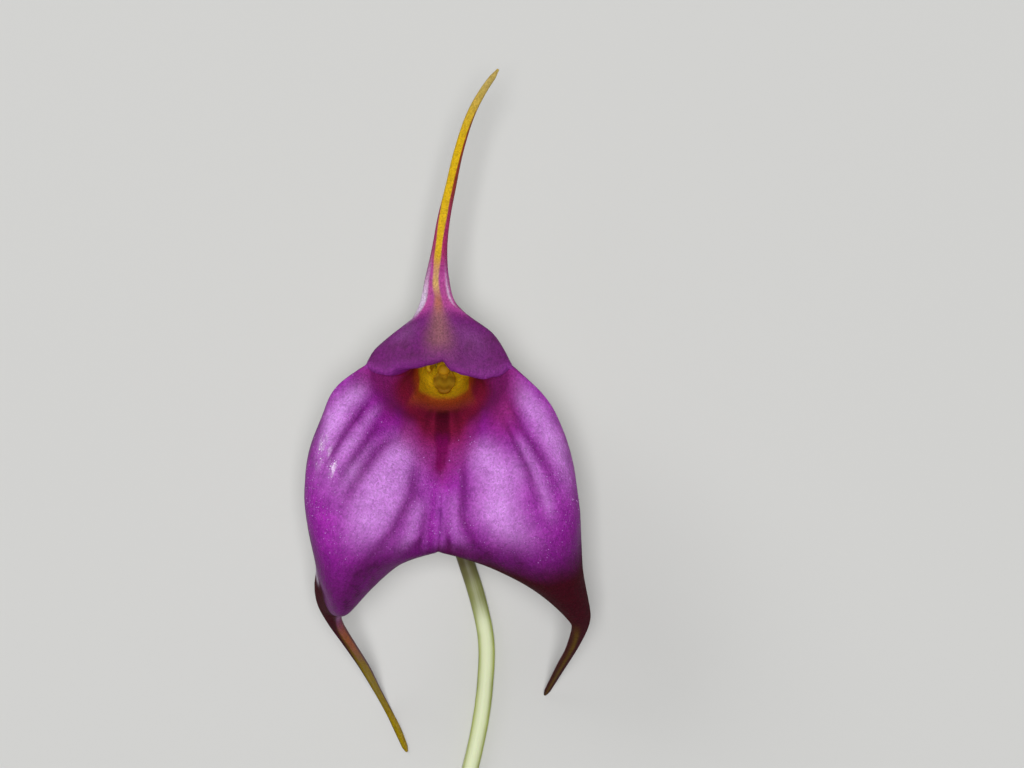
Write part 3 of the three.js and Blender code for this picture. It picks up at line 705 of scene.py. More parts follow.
PALE_PLEAT = colour(196, 104, 212)
PALE_FLECK = colour(200, 112, 212)
PALE_SMEAR = colour(232, 204, 240)
REVERSE_PALE = colour(206, 190, 206)
REVERSE_VEIN = colour(160, 120, 166)
BREAKING_UP = 0.35                 # how much the lilac, partly painted highlight, and the painted shade break up
PLEATS_EACH = 6.6                  # radians of their wave to a millimetre
CELLS_EACH = 4600.0                # cells to a metre
SKIN_RELIEF = 0.00005              # metres

sepal_skin, tree, shader = new_material(
    "sepal_skin", 0.5, 0.1,
    Subsurface_Weight=0.1, Subsurface_Scale=0.0012, Subsurface_Radius=(1.0, 0.35, 0.9))
where = object_place(tree)
streaks = noise(tree, grain_place(tree, 1.6, 0.16), 1.0, 3.0)
patches = noise(tree, where, 420.0, 4.0, 0.65)
cell_tone, cell_edge = cells(tree, where, CELLS_EACH)
face = mixed(tree, ranged(tree, patches, 0.3, 0.7), PURPLE_DEEP, PURPLE)
for mask, tint, share in SKIN_LAYERS:
    amount = times(tree, attribute(tree, mask), share)
    if mask in ("flush", "shade"):
        broken = ranged(tree, patches, 0.3, 0.7, 1 - BREAKING_UP, 1 + BREAKING_UP * 0.4)
        amount = times(tree, amount, broken)
    face = mixed(tree, amount, face, tint)
grain_here = add_node(tree, "ShaderNodeUVMap", {"uv_map": "grain"})
across = add_node(tree, "ShaderNodeSeparateXYZ", Vector=grain_here)
pleats = ranged(tree, math_node(tree, "SINE", times(tree, across, PLEATS_EACH)), -1.0, 1.0)
pleats = times(tree, pleats, attribute(tree, "pleats"))
face = mixed(tree, times(tree, pleats, 0.3), face, PALE_PLEAT)
flecks = ranged(tree, noise(tree, grain_place(tree, 2.6, 0.9), 1.0, 5.0, 0.7), 0.54, 0.68, 0.0, 0.3)
flecks = times(tree, flecks, attribute(tree, "open_face"))
face = mixed(tree, flecks, face, PALE_FLECK)
smears = ranged(tree, noise(tree, grain_place(tree, 1.1, 0.5), 1.0, 4.0, 0.7), 0.45, 0.58)
face = mixed(tree, times(tree, attribute(tree, "frost"), smears), face, PALE_SMEAR)
darker_face = mixed(tree, 1.0, face, face, "MULTIPLY")
face = mixed(tree, ranged(tree, streaks, 0.5, 0.72, 0.0, 0.14), face, darker_face)
reverse = mixed(tree, ranged(tree, streaks, 0.48, 0.62, 0.0, 0.8), REVERSE_PALE, REVERSE_VEIN)
for mask, tint, share in REVERSE_LAYERS:
    reverse = mixed(tree, times(tree, attribute(tree, mask), share), reverse, tint)
skin_tone = mixed(tree, attribute(tree, "reverse"), face, reverse)
cell_light = mixed(tree, cell_tone, grey(0.74), grey(1.28))
even_light = times(tree, attribute(tree, "reverse"), 0.7)
cell_light = mixed(tree, even_light, cell_light, grey(1.0))
skin_tone = mixed(tree, 1.0, skin_tone, cell_light, "MULTIPLY")
tree.links.new(skin_tone, shader.inputs["Base Color"])
dull = math_node(tree, "MAXIMUM", attribute(tree, "dark_tail"), attribute(tree, "maroon"))
gloss = mixed(tree, dull, mixed(tree, cell_tone, grey(0.42), grey(0.6)), grey(0.85))
tree.links.new(gloss, shader.inputs["Roughness"])
pits = times(tree, cell_edge, 1.5)
relief = math_node(tree, "SUBTRACT", times(tree, patches, 4.0), pits)
relief = math_node(tree, "ADD", relief, times(tree, pleats, 1.5))
bump(tree, shader, relief, SKIN_RELIEF)
calyx_mesh.materials.append(sepal_skin)
new_piece(calyx_mesh, "sepals", "calyx")

# ---------------------------------------------------------------- the pieces in the throat
# Behind the rim stand a stout column with its cap, a narrow petal on each side of it and a small tongue of a
# lip under it, all of firm, waxy yellow tissue, the lip browner at its end. They are shaped in the tube's
# frame: x to the right, y up and z along the tube from its base.


def in_throat(points):
    points = np.asarray(points, float)
    return TUBE_BASE + points[..., :1] * TUBE_RIGHT + points[..., 1:2] * TUBE_UP + points[..., 2:] * TUBE_AXIS


def centripetal(points, samples):
    """A smooth curve through points, evenly sampled by its length, and that length."""
    p = np.array(points, float)
    p = np.vstack([2 * p[0] - p[1], p, 2 * p[-1] - p[-2]])
    fine = []
    for a, b, c, d in zip(p, p[1:], p[2:], p[3:]):
        d0, d1, d2 = (np.sqrt(np.linalg.norm(step)) for step in (b - a, c - b, d - c))
        t1 = ((b - a) / d0 - (c - a) / (d0 + d1) + (c - b) / d1) * d1
        t2 = ((c - b) / d1 - (d - b) / (d1 + d2) + (d - c) / d2) * d1
        f = np.linspace(0, 1, 60, endpoint=False)[:, None]
        fine.append(b + f * (t1 + f * ((3 * (c - b) - 2 * t1 - t2) + f * (2 * (b - c) + t1 + t2))))
    fine = np.vstack([*fine, p[-2]])
    length = np.concatenate([[0], np.cumsum(np.linalg.norm(np.diff(fine, axis=0), axis=1))])
    even = np.linspace(0, length[-1], samples)
    return np.stack([np.interp(even, length, fine[:, i]) for i in range(3)], axis=1), length[-1]


def waxy_yellow(name, deep, light, speck, speck_share, tip=None):
    """Dull waxy skin, cloudy from deep to light, with specks and, by the mesh's own number, another tip."""
    material, tree, shader = new_material(
        name, 0.65, 0.14, Subsurface_Weight=0.1, Subsurface_Scale=0.0008, Subsurface_Radius=(1.0, 0.7, 0.2))
    where = object_place(tree)
    tone = mixed(tree, ranged(tree, noise(tree, where, 500.0), 0.35, 0.65), deep, light)
    if tip:
        tone = mixed(tree, attribute(tree, "tip"), tone, tip)
    specks = ranged(tree, noise(tree, where, 2200.0), 0.6, 0.68, 0.0, speck_share)
    tree.links.new(mixed(tree, specks, tone, speck), shader.inputs["Base Color"])
    bump(tree, shader, noise(tree, where, 3000.0), WAX_RELIEF)
    return material


def skin_round(lattice, half, closed=False):
    """thicken() round a lattice of points, whose last column meets its first where it is closed."""
    ids = np.arange(lattice.shape[0] * lattice.shape[1]).reshape(lattice.shape[:2])
    halves = np.broadcast_to(half, ids.shape).ravel()
    faces = lattice_faces(np.hstack([ids, ids[:, :1]]) if closed else ids)
    return thicken(lattice.reshape(-1, 3), faces, halves)


WAX_RELIEF = 0.00004               # metres
SEAT_GAP = 0.3                     # between a piece and the one that carries it
PETAL_HALF = 0.3                   # half of a petal's thickness
LIP_HALF = 0.35
petal_wax = waxy_yellow("petal_wax", colour(206, 164, 20), colour(222, 184, 36), colour(170, 110, 20), 0.25)
for side_name, turn in (("left", -1), ("right", 1)):
    line, _ = centripetal([[1.3, 0.1, SEAT_GAP], [1.75, 0.2, 2], [2.35, 0.3, 4.5], [2.35, 0.2, 6.9]], 41)
    t = np.linspace(0, 1, len(line))[:, None]
    w = np.linspace(-1, 1, 17)[None, :]
    half_width = mix(0.45, 1.15, smooth(0, 0.45, t)) * np.sqrt(1 - 0.82 * smooth(0.75, 1, t) ** 2)
    x = turn * (line[:, :1] - 0.3 * w * w)
    y = line[:, 1:2] + w * half_width
    z = line[:, 2:] + 0 * w
    petal = in_throat(np.stack([x, y, z], axis=-1))[:, ::turn]
    vertices, faces, _, _ = skin_round(petal, PETAL_HALF * mix(0.6, 1, smooth(0, 0.4, 1 - np.abs(w))))
    mesh = new_mesh(f"petal_{side_name}_wax", vertices, faces)
    mesh.materials.append(petal_wax)
    new_piece(mesh, "petals", f"petal_{side_name}")

line, _ = centripetal([[0, -1.75, 1.9], [0, -2.2, 3.6], [0, -2.3, 5.6], [0, -2.5, 7.4], [0, -3.0, 8.4]], 49)
t = np.linspace(0, 1, len(line))[:, None]
w = np.linspace(-1, 1, 33)[None, :]
half_width = mix(0.75, 1.45, smooth(0, 0.5, t)) * np.sqrt(1 - 0.7 * smooth(0.7, 1, t) ** 2)
keels = 0.22 * bell(np.abs(w), 0.5, 0.2) * smooth(0.1, 0.4, t) * fade(0.6, 0.85, t)
height = line[:, 1:2] + 0.35 * w * w + keels
lip = in_throat(np.stack([w * half_width, height, line[:, 2:] + 0 * w], axis=-1))
vertices, faces, under_lip, _ = skin_round(lip, LIP_HALF * mix(0.6, 1, smooth(0, 0.3, 1 - np.abs(w))))
lip_tip = 0.65 * smooth(0.35, 0.6, t) + 0.35 * smooth(0.8, 0.95, t)
mesh = new_mesh("lip_wax", vertices, faces, {"tip": (lip_tip + 0 * w).ravel()[under_lip]})
mesh.materials.append(waxy_yellow(
    "lip_wax", colour(248, 204, 44), colour(252, 212, 56), colour(170, 120, 16), 0.2, colour(142, 100, 8)))
new_piece(mesh, "lip", "lip")


def tube_shape(line, radius, across, sides):
    """A closed tube along a line of points. radius(t, angle) gives its surface, where t is the share of the
    points passed and the angle is taken from a fixed direction."""
    line = np.asarray(line, float)
    t = np.linspace(0, 1, len(line))[:, None]
    angle = np.arange(sides)[None, :] * 2 * np.pi / sides
    along = units(np.gradient(line, axis=0))
    right = units(across - along * (along @ np.asarray(across, float))[:, None])
    up = np.cross(along, right)
    reach = radius(t, angle)[:, :, None]
    points = line[:, None] + reach * (np.cos(angle)[:, :, None] * right[:, None]
                                      + np.sin(angle)[:, :, None] * up[:, None])
    ids = np.arange(points.shape[0] * sides).reshape(-1, sides)
    ids = np.hstack([ids, ids[:, :1]])
    faces = lattice_faces(ids)[:, ::-1].tolist()
    faces += [ids[0, :-1][::-1].tolist(), ids[-1, :-1].tolist()]
    return points.reshape(-1, 3), faces


def temporary(name, points, faces):
    """A shape in the throat that is only there to be joined or cut."""
    mesh = bpy.data.meshes.new(name)
    mesh.from_pydata(place(in_throat(points)).tolist(), [], faces)
    made = bpy.data.objects.new(name, mesh)
    bpy.context.scene.collection.objects.link(made)
    return made


def evaluated_mesh(made, name):
    """The mesh of an object with its modifiers done. The object itself is taken away."""
    mesh = bpy.data.meshes.new_from_object(made.evaluated_get(bpy.context.evaluated_depsgraph_get()))
    mesh.name = name
    bpy.data.objects.remove(made)
    return mesh


# The column: a post, a little flattened, with the foot that carries the lip joined on and the hollow of the
# stigma cut under its tip.
COLUMN_TOP = 7.3
STIGMA = (0, -0.75, 6.0)           # the middle of the hollow
STIGMA_RADIUS = 0.55
STIGMA_HALF_LENGTH = 0.8
RIGHTWARD = (1, 0, 0)
post_line, _ = centripetal([[0, 0.15, SEAT_GAP], [0, 0.35, 2.5], [0, 0.45, 5], [0, 0.15, COLUMN_TOP]], 40)
post = temporary("post", *tube_shape(
    post_line,
    lambda t, angle: mix(0.6, 0.98, smooth(0.1, 0.7, t)) * (1 + 0.12 * np.cos(2 * angle))
    * np.sqrt(1 - 0.25 * smooth(0.93, 1, t)),
    RIGHTWARD, 48))
foot_line, _ = centripetal([[0, 0.1, 0.9], [0, -0.7, 1.0], [0, -1.2, 1.2]], 16)
foot = temporary("foot", *tube_shape(
    foot_line, lambda t, angle: mix(0.5, 0.34, t) + 0 * angle, RIGHTWARD, 32))
hollow_line = np.linspace(
    [*STIGMA[:2], STIGMA[2] - STIGMA_HALF_LENGTH], [*STIGMA[:2], STIGMA[2] + STIGMA_HALF_LENGTH], 25)
hollow = temporary("hollow", *tube_shape(
    hollow_line,
    lambda t, angle: STIGMA_RADIUS * np.sqrt(np.clip(1 - (2 * t - 1) ** 2, 0.001, 1)) + 0 * angle,
    RIGHTWARD, 32))
for operation, other in (("UNION", foot), ("DIFFERENCE", hollow)):
    join = post.modifiers.new(operation.lower(), "BOOLEAN")
    join.operation, join.object, join.solver = operation, other, "EXACT"
column_mesh = evaluated_mesh(post, "column_wax")
for used in (foot, hollow):
    bpy.data.objects.remove(used)
column_mesh.shade_smooth()
column_mesh.materials.append(
    waxy_yellow("column_wax", colour(220, 174, 16), colour(238, 196, 30), colour(160, 100, 20), 0.3))
new_piece(column_mesh, "column", "column")

# The anther cap: a small dome on the column's tip, with a shallow groove down its middle.
CAP_RADIUS = 0.85
CAP_COLLAR = 0.18                  # the height of its straight foot
CAP_DOME = 0.62
turn = np.linspace(0, np.pi / 2, 17)
cap_radii = np.concatenate([[0.86, 0.94], np.cos(turn[:-1]), [0.02]]) * CAP_RADIUS
cap_heights = np.concatenate(
    [[0.0, 0.03], CAP_COLLAR + CAP_DOME * np.sin(turn[:-1]), [CAP_COLLAR + CAP_DOME]])
cap_line = np.stack([0 * cap_heights, 0.15 + 0 * cap_heights, COLUMN_TOP + SEAT_GAP + cap_heights], axis=1)
cap_points, cap_faces = tube_shape(
    cap_line, lambda t, angle: cap_radii[:, None] * (1 - 0.05 * np.abs(np.sin(angle)) ** 12), RIGHTWARD, 48)
mesh = new_mesh("anther_cap_wax", in_throat(cap_points), cap_faces)
mesh.materials.append(
    waxy_yellow("cap_wax", colour(190, 142, 16), colour(204, 158, 26), colour(160, 112, 16), 0.3))
new_piece(mesh, "anther_cap", "anther_cap")

# ---------------------------------------------------------------- the ovary and its pedicel
# The green ovary has six low ribs. It carries the flower on its shoulder and bends over into the thinner
# pedicel, which turns under the flower towards the stem.


def new_tree(name, inputs):
    """An empty Geometry Nodes tree with a geometry coming in and going out, and its named inputs."""
    tree = bpy.data.node_groups.new(name, "GeometryNodeTree")
    tree.interface.new_socket("Geometry", in_out="INPUT", socket_type="NodeSocketGeometry")
    for key, kind in inputs.items():
        tree.interface.new_socket(key, in_out="INPUT", socket_type="NodeSocket" + kind)
    tree.interface.new_socket("Geometry", in_out="OUTPUT", socket_type="NodeSocketGeometry")
    return tree, tree.nodes.new("NodeGroupInput").outputs


def end_tree(tree, geometry, material):
    """Every tree ends with real geometry and its material."""
    real = add_node(tree, "GeometryNodeRealizeInstances", Geometry=geometry)
    made = add_node(tree, "GeometryNodeSetMaterial", Geometry=real, Material=material)
    tree.links.new(made, tree.nodes.new("NodeGroupOutput").inputs[0])


def grown(name, mesh, tree, **values):
    """The mesh that a tree grows on another one."""
    base = bpy.data.objects.new(name, mesh)
    bpy.context.scene.collection.objects.link(base)
    modifier = base.modifiers.new("grow", "NODES")
    modifier.node_group = tree
    identifiers = {item.name: item.identifier for item in tree.interface.items_tree if item.in_out == "INPUT"}
    for key, value in values.items():
        modifier[identifiers[key.replace("_", " ")]] = value
    return evaluated_mesh(base, name)


def named(tree, name, kind="FLOAT"):
    return add_node(tree, "GeometryNodeInputNamedAttribute", {"data_type": kind}, Name=name)


def dot_node(tree, first, second):
    return add_node(tree, "ShaderNodeVectorMath", {"operation": "DOT_PRODUCT"}, in_0=first, in_1=second)


UPWARD = (0.0, 0.0, 1.0)


def stored(tree, geometry, name, value, kind="FLOAT"):
    return add_node(tree, "GeometryNodeStoreNamedAttribute", {"data_type": kind},
                    Geometry=geometry, Name=name, Value=value)


def stem_tree():
    """A stem along a line: its girth and the depth of its ribs come from the line's own numbers."""
    tree, given = new_tree("stem_along_line", {
        "Sides": "Int", "Ribs": "Int", "Unevenness": "Float", "Material": "Material"})
    line = add_node(tree, "GeometryNodeMeshToCurve", Mesh=given["Geometry"])
    parameter = tree.nodes.new("GeometryNodeSplineParameter")
    line = stored(tree, line, "length_along", parameter.outputs["Length"])
    ring = add_node(tree, "GeometryNodeCurvePrimitiveCircle", Resolution=given["Sides"], Radius=1.0)
    ring = stored(tree, ring, "around", parameter.outputs["Factor"])
    girth = named(tree, "girth")
    stem = add_node(tree, "GeometryNodeCurveToMesh", Curve=line, Profile_Curve=ring, Scale=girth)

    angle = times(tree, named(tree, "around"), 2 * np.pi)
    ribs = math_node(tree, "COSINE", times(tree, angle, given["Ribs"]))
    ribs = times(tree, math_node(tree, "SUBTRACT", ribs, 0.3), named(tree, "ribbing"))
    ribs = times(tree, ribs, girth)
    place_here = tree.nodes.new("GeometryNodeInputPosition").outputs[0]
    uneven = math_node(tree, "SUBTRACT", noise(tree, place_here, 260.0), 0.5)
    rise = math_node(tree, "ADD", ribs, times(tree, uneven, given["Unevenness"]))
    outward = tree.nodes.new("GeometryNodeInputNormal").outputs["Normal"]
    offset = add_node(tree, "ShaderNodeVectorMath", {"operation": "SCALE"}, in_0=outward, Scale=rise)
    stem = add_node(tree, "GeometryNodeSetPosition", Geometry=stem, Offset=offset)
    stem = stored(tree, stem, "upward", dot_node(tree, outward, UPWARD))

    rolled = add_node(
        tree, "ShaderNodeCombineXYZ",
        X=times(tree, math_node(tree, "COSINE", angle), girth),
        Y=times(tree, math_node(tree, "SINE", angle), girth),
        Z=named(tree, "length_along"))
    stem = stored(tree, stem, "rolled", rolled, "FLOAT_VECTOR")
    stem = add_node(tree, "GeometryNodeSetShadeSmooth", Geometry=stem)
    end_tree(tree, stem, given["Material"])
    return tree


END_GIRTHS = np.array([0.02, 0.5, 0.85, 0.96])      # shares of the girth where a line's end closes
END_STEPS = np.array([0.08, 0.072, 0.052, 0.026])   # and how far out they are


def closed_line(path, samples, **rules):
    """A line mesh with a girth and other numbers at each point, by rules of the way along and the whole
    length. Its two ends close to almost nothing, over a tiny length."""
    points, length = centripetal(path, samples)
    along = np.linspace(0, length, samples)
    steps = END_STEPS[:, None]
    first, last = unit(points[0] - points[1]), unit(points[-1] - points[-2])
    points = np.vstack([points[0] + first * steps, points, (points[-1] + last * steps)[::-1]])
    mesh = bpy.data.meshes.new("line")
    mesh.from_pydata(place(points).tolist(), [(i, i + 1) for i in range(len(points) - 1)], [])
    for key, rule in rules.items():
        values = rule(along, length)
        shares = END_GIRTHS if key == "girth" else np.ones(len(END_GIRTHS))
        values = np.concatenate([values[0] * shares, values, values[-1] * shares[::-1]])
        values = values * MM if key == "girth" else values
        mesh.attributes.new(key, "FLOAT", "POINT").data.foreach_set("value", values.astype(np.float32))
    return mesh


def green_skin(name, deep, light, streak, roughness=0.42, specular=0.5):
    """Smooth green skin with fine pale lines along it, with a painted highlight on its upper side and, by the
    mesh's own number, brown-olive, partly painted shadow.
    """
    material, tree, shader = new_material(
        name, roughness, specular, Subsurface_Weight=0.08, Subsurface_Scale=0.001,
        Subsurface_Radius=(0.6, 1.0, 0.2), Sheen_Weight=0.05)
    rolled = tree.nodes.new("ShaderNodeAttribute")
    rolled.attribute_name = "rolled"
    lines = add_node(tree, "ShaderNodeMapping", Vector=rolled.outputs["Vector"], Scale=(2600.0, 2600.0, 60.0))
    lines = noise(tree, lines, 1.0, 3.0)
    dusky = attribute(tree, "dusky")
    patches = noise(tree, object_place(tree), 130.0, 2.0)
    tone = mixed(tree, ranged(tree, patches, 0.35, 0.65), deep, light)
    tone = mixed(tree, ranged(tree, lines, 0.45, 0.7, 0.0, 0.6), tone, streak)
    # A painted highlight along the upper side.
    top_highlight = ranged(tree, attribute(tree, "upward"), 0.5, 0.9, 0.0, 0.9)
    top_highlight = times(tree, top_highlight, ranged(tree, dusky, 0.1, 0.6, 1.0, 0.4))
    tone = mixed(tree, top_highlight, tone, streak)
    # Brown-olive under the flower: partly the stem's own flush, partly a painted shadow of the flower.
    tone = mixed(tree, dusky, tone, colour(64, 50, 12))
    tone = mixed(tree, attribute(tree, "pith"), tone, colour(196, 204, 150))
    tree.links.new(tone, shader.inputs["Base Color"])
    bump(tree, shader, lines, SKIN_RELIEF)
    return material


OVARY_LENGTH = 5.4
PEDICEL_RADIUS = 0.9
STEM = stem_tree()


def on_tube_axis(along):
    return (TUBE_BASE + TUBE_AXIS * along).tolist()


pedicel_line = closed_line(
    [on_tube_axis(-SEAT_GAP), on_tube_axis(-2.6), on_tube_axis(-OVARY_LENGTH), [0.45, 6.7, -31.3],
     [0.3, 6.9, -33.2], [-0.2, 5.7, -34.5], [-0.9, 3.2, -34.2], [-1.4, 0.8, -33.5], [-1.65, -1.6, -33.2]],
    240,
    girth=lambda along, length: profile(
        [(0, 2.7), (1.6, 1.9), (2.8, 1.9), (OVARY_LENGTH, 1.4), (OVARY_LENGTH + 2, PEDICEL_RADIUS)], along),
    ribbing=lambda along, length: profile([(0.3, 0), (1.3, 0.12), (4, 0.12), (OVARY_LENGTH + 1, 0)], along))
ovary_skin = green_skin("ovary_skin", colour(128, 142, 44), colour(160, 170, 70), colour(186, 190, 104))
mesh = grown(
    "ovary_and_pedicel", pedicel_line, STEM, Sides=72, Ribs=6, Unevenness=0.00008, Material=ovary_skin)
new_piece(mesh, "ovary", "ovary")

# ---------------------------------------------------------------- the bract
# A dry, papery sheath with fine fibres, left from the bud. It clasps the top of the stem and opens obliquely
# round the pedicel, longest on its upper side and browner at its edge.

SCAPE_RADIUS = 1.2
SCAPE_TOP_RADIUS = SCAPE_RADIUS * 0.88
BRACT_HALF = 0.3
BRACT_SHORT_SIDE = 0.62            # the length of its lower side, as a share of the upper one
bract_line, _ = centripetal(
    [[-1.83, -5.6, -33.25], [-1.75, -3, -33.2], [-1.5, 0, -33.3], [-1.0, 3, -33.55]], 400)
rows = np.linspace(0, 1, 41)[:, None]
angle = np.linspace(0, 2 * np.pi, 56, endpoint=False)[None, :]
t = rows * mix(BRACT_SHORT_SIDE, 1, ((1 + np.sin(angle)) / 2) ** 2)
sample = np.rint(t * (len(bract_line) - 1)).astype(int)
across = units(np.cross(units(np.gradient(bract_line, axis=0)), UPWARD))
reach = SCAPE_TOP_RADIUS + SEAT_GAP + BRACT_HALF + 0.25 * smooth(0.3, 1, rows) + 0.03 * np.sin(14 * angle)
bract = (bract_line[sample] + (reach * np.cos(angle))[:, :, None] * across[sample]
         + (reach * np.sin(angle))[:, :, None] * np.array(UPWARD))
half = BRACT_HALF * mix(1, 0.45, smooth(0.7, 1, rows)) * mix(0.7, 1, smooth(0, 0.2, rows))
vertices, faces, under_bract, _ = skin_round(bract, half, closed=True)
edge = (smooth(0.75, 1, rows) + 0 * angle).ravel()[under_bract]
around = (np.abs(angle / np.pi - 1) * 6 + 0 * rows).ravel()[under_bract]
grain = np.stack([around, (rows * 9 + 0 * angle).ravel()[under_bract]], axis=1)
bract_mesh = new_mesh("bract_paper", vertices, faces, {"dry_edge": edge}, grain)
bract_paper, tree, shader = new_material(
    "bract_paper", 0.62, 0.3,
    Subsurface_Weight=0.1, Subsurface_Scale=0.0006, Subsurface_Radius=(1.0, 0.8, 0.4))
FIBRE_RELIEF = 0.00008             # metres
fibres = noise(tree, grain_place(tree, 5.0, 0.35), 1.0, 4.0)
tone = mixed(tree, ranged(tree, fibres, 0.4, 0.65), colour(150, 156, 98), colour(196, 192, 142))
tone = mixed(tree, times(tree, attribute(tree, "dry_edge"), 0.75), tone, colour(158, 122, 78))
tree.links.new(tone, shader.inputs["Base Color"])
bump(tree, shader, fibres, FIBRE_RELIEF)
bract_mesh.materials.append(bract_paper)
new_piece(bract_mesh, "bract", "floral_bract")

# ---------------------------------------------------------------- the stem
# The scape: one long, thin, round stem of firm green tissue with fine lines along it, with a painted
# highlight on its upper side and brown-olive under the flower, partly its own flush and partly a painted
# shadow of the flower. It lies on the surface in a bow and ends in a clean cut, where the pith shows.

LYING = float(-MOUTH_PLACE[2]) + SCAPE_RADIUS + 0.07     # the height of its middle where it lies
scape_line = closed_line(
    [[-1.68, -1.9, -33.2], [-1.83, -5, -33.22], [-1.2, -11, -33.95], [0.7, -18.6, LYING], [3.1, -25.6, LYING],
     [5.05, -31.8, LYING], [6.25, -37.75, LYING], [6.15, -43.7, LYING], [5.45, -49.6, LYING],
     [3.9, -56.7, LYING], [1.6, -65, LYING], [-1.5, -75, LYING], [-4.8, -85, LYING]],
    420,
    girth=lambda along, length: mix(SCAPE_TOP_RADIUS, SCAPE_RADIUS, smooth(0, 0.12 * length, along)),
    pith=lambda along, length: smooth(length - 0.05, length, along),
    # Brown-olive under the flower, partly its own flush and partly a painted shadow of the flower.
    dusky=lambda along, length: profile(
        [(4, 0.8), (16, 0.93), (24.9, 0.95), (26.3, 0.86), (29.5, 0.6), (35.5, 0)], along))
scape_skin = green_skin(
    "scape_skin", colour(132, 144, 42), colour(168, 180, 72), colour(222, 229, 190), 0.55, 0.4)
mesh = grown("scape_stem", scape_line, STEM, Sides=40, Ribs=5, Unevenness=0.0001, Material=scape_skin)
new_piece(mesh, "stem", "scape")

# ---------------------------------------------------------------- the glistening cells
# The face of the side sepals is set with tiny raised cells that glint like frost. Each is a low, shiny bead
# on the skin. They stand densest near the outer margin of the left lobe.


def bead_tree():
    """Small beads on a skin, as dense as the skin's own number says."""
    tree, given = new_tree("beads_on_skin", {
        "Most per square metre": "Float", "Bead size": "Float", "Seed": "Int", "Material": "Material"})
    density = times(tree, named(tree, "beads"), given["Most per square metre"])
    here = tree.nodes.new("GeometryNodeInputPosition").outputs[0]
    patchy = ranged(tree, noise(tree, here, 300.0), 0.42, 0.62, 0.35, 1.6)
    density = times(tree, density, patchy)
    spread = tree.nodes.new("GeometryNodeDistributePointsOnFaces")
    put(tree, spread.inputs["Mesh"], given["Geometry"])
    put(tree, spread.inputs["Density"], density)
    put(tree, spread.inputs["Seed"], given["Seed"])
    bead = add_node(tree, "GeometryNodeMeshIcoSphere", Radius=given["Bead size"], Subdivisions=1)
    bead = add_node(tree, "GeometryNodeSetShadeSmooth", Geometry=bead)
    varied = add_node(tree, "FunctionNodeRandomValue", Seed=given["Seed"])      # from 0 to 1
    beads = tree.nodes.new("GeometryNodeInstanceOnPoints")
    put(tree, beads.inputs["Points"], spread.outputs["Points"])
    put(tree, beads.inputs["Instance"], bead)
    put(tree, beads.inputs["Rotation"], spread.outputs["Rotation"])
    frosty = math_node(tree, "ADD", 1.0, times(tree, named(tree, "frost"), 0.6))
    scale = times(tree, math_node(tree, "POWER", varied, 9.0), 2.0)    # few beads are large
    scale = math_node(tree, "ADD", scale, 0.6)
    put(tree, beads.inputs["Scale"], times(tree, scale, frosty))
    end_tree(tree, beads.outputs["Instances"], given["Material"])
    return tree


front = smooth(0.6, 1.0, facing)
on_blade = smooth(MOUTH, MOUTH + 1, stations_all) * fade(MOUTH + 3.5, MOUTH + 6, stations_all)
beads = spared(front * is_side * on_blade * (0.45 + 1.3 * frost),
               {"dark_tail": 1.0, "plum": 1.0, "crimson": 1.0, "shade": 0.9})
bead_base = new_mesh("bead_base", skin, skin_faces, calyx_attributes | {"beads": beads})
bead_skin, tree, shader = new_material("bead_skin", 0.2, 0.6)
# The beads are darker under the painted shade and whiter in the frost.
tone = mixed(tree, attribute(tree, "shade"), colour(204, 140, 218), colour(150, 66, 156))
tree.links.new(mixed(tree, ranged(tree, attribute(tree, "frost"), 0.05, 0.4), tone, colour(240, 220, 244)),
               shader.inputs["Base Color"])
mesh = grown(
    "glistening_cells", bead_base, bead_tree(),
    Most_per_square_metre=14e6, Bead_size=0.000042, Seed=4, Material=bead_skin)
new_piece(mesh, "sepals")

# ---------------------------------------------------------------- the stage, the light and the camera
# A plain pale floor under the flower and soft studio light. The camera stands over the flower, a little to
# its right, and looks straight down on the open face.

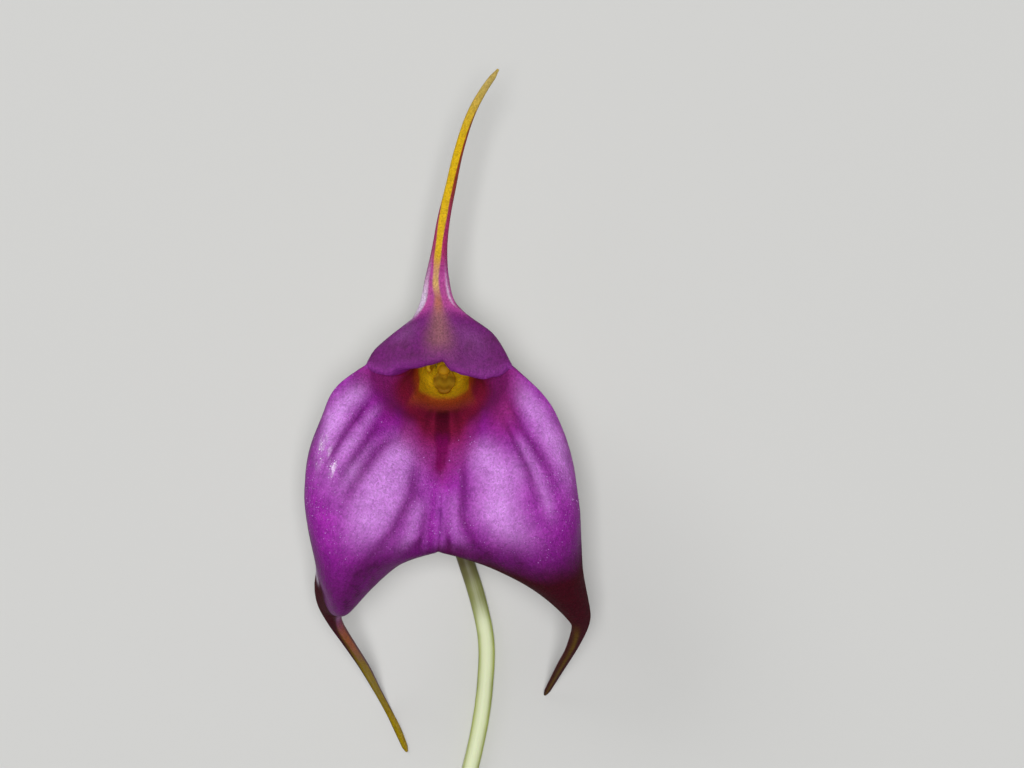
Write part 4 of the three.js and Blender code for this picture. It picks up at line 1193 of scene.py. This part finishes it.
CAMERA_HEIGHT = 600.0              # over the mouth
PICTURE_WIDTH = 143.36             # seen at the height of the mouth
CAMERA_OVER = (10.08, 0.14)
FLOOR_HALF = 2.0

floor_mesh = bpy.data.meshes.new("floor")
floor_corners = ((-1, -1), (1, -1), (1, 1), (-1, 1))
floor_mesh.from_pydata([(x * FLOOR_HALF, y * FLOOR_HALF, 0) for x, y in floor_corners], [], [(0, 1, 2, 3)])
floor = bpy.data.objects.new("floor", floor_mesh)
bpy.context.scene.collection.objects.link(floor)
floor_paint, tree, shader = new_material("floor_paint", 0.85, 0.2)
shader.inputs["Base Color"].default_value = colour(208, 208, 206)
floor_mesh.materials.append(floor_paint)


def soft_light(name, offset, size, power):
    """A square soft box, at an offset in metres from the mouth, turned to the flower."""
    lamp = bpy.data.lights.new(name, "AREA")
    lamp.size, lamp.energy = size, power
    light = bpy.data.objects.new(name, lamp)
    light.location = Vector(MOUTH_PLACE * MM) + Vector(offset)
    light.rotation_euler = Vector(offset).to_track_quat("Z", "Y").to_euler()
    bpy.context.scene.collection.objects.link(light)


soft_light("key_light", (0.0, 0.0, 2.5), 0.56, 48.0)
soft_light("side_light", (-1.2, 1.2, 1.5), 1.2, 10.0)

# The studio round the flower is dim overhead and pale near the floor.
world = bpy.data.worlds.new("studio")
world.use_nodes = True
tree = world.node_tree
direction = tree.nodes.new("ShaderNodeTexCoord").outputs["Generated"]
height = dot_node(tree, direction, UPWARD)
put(tree, tree.nodes["Background"].inputs["Strength"], ranged(tree, height, 0.0, 0.4, 0.58, 0.13))
put(tree, tree.nodes["Background"].inputs["Color"], (1.0, 1.0, 0.995, 1.0))
bpy.context.scene.world = world
bpy.context.scene.view_settings.view_transform = "Standard"

lens = bpy.data.cameras.new("camera")
lens.sensor_width = 36.0
lens.lens = lens.sensor_width * CAMERA_HEIGHT / PICTURE_WIDTH
lens.clip_start, lens.clip_end = 0.01, 10.0
camera = bpy.data.objects.new("camera", lens)
camera.location = place([*CAMERA_OVER, CAMERA_HEIGHT])
bpy.context.scene.collection.objects.link(camera)
bpy.context.scene.camera = camera
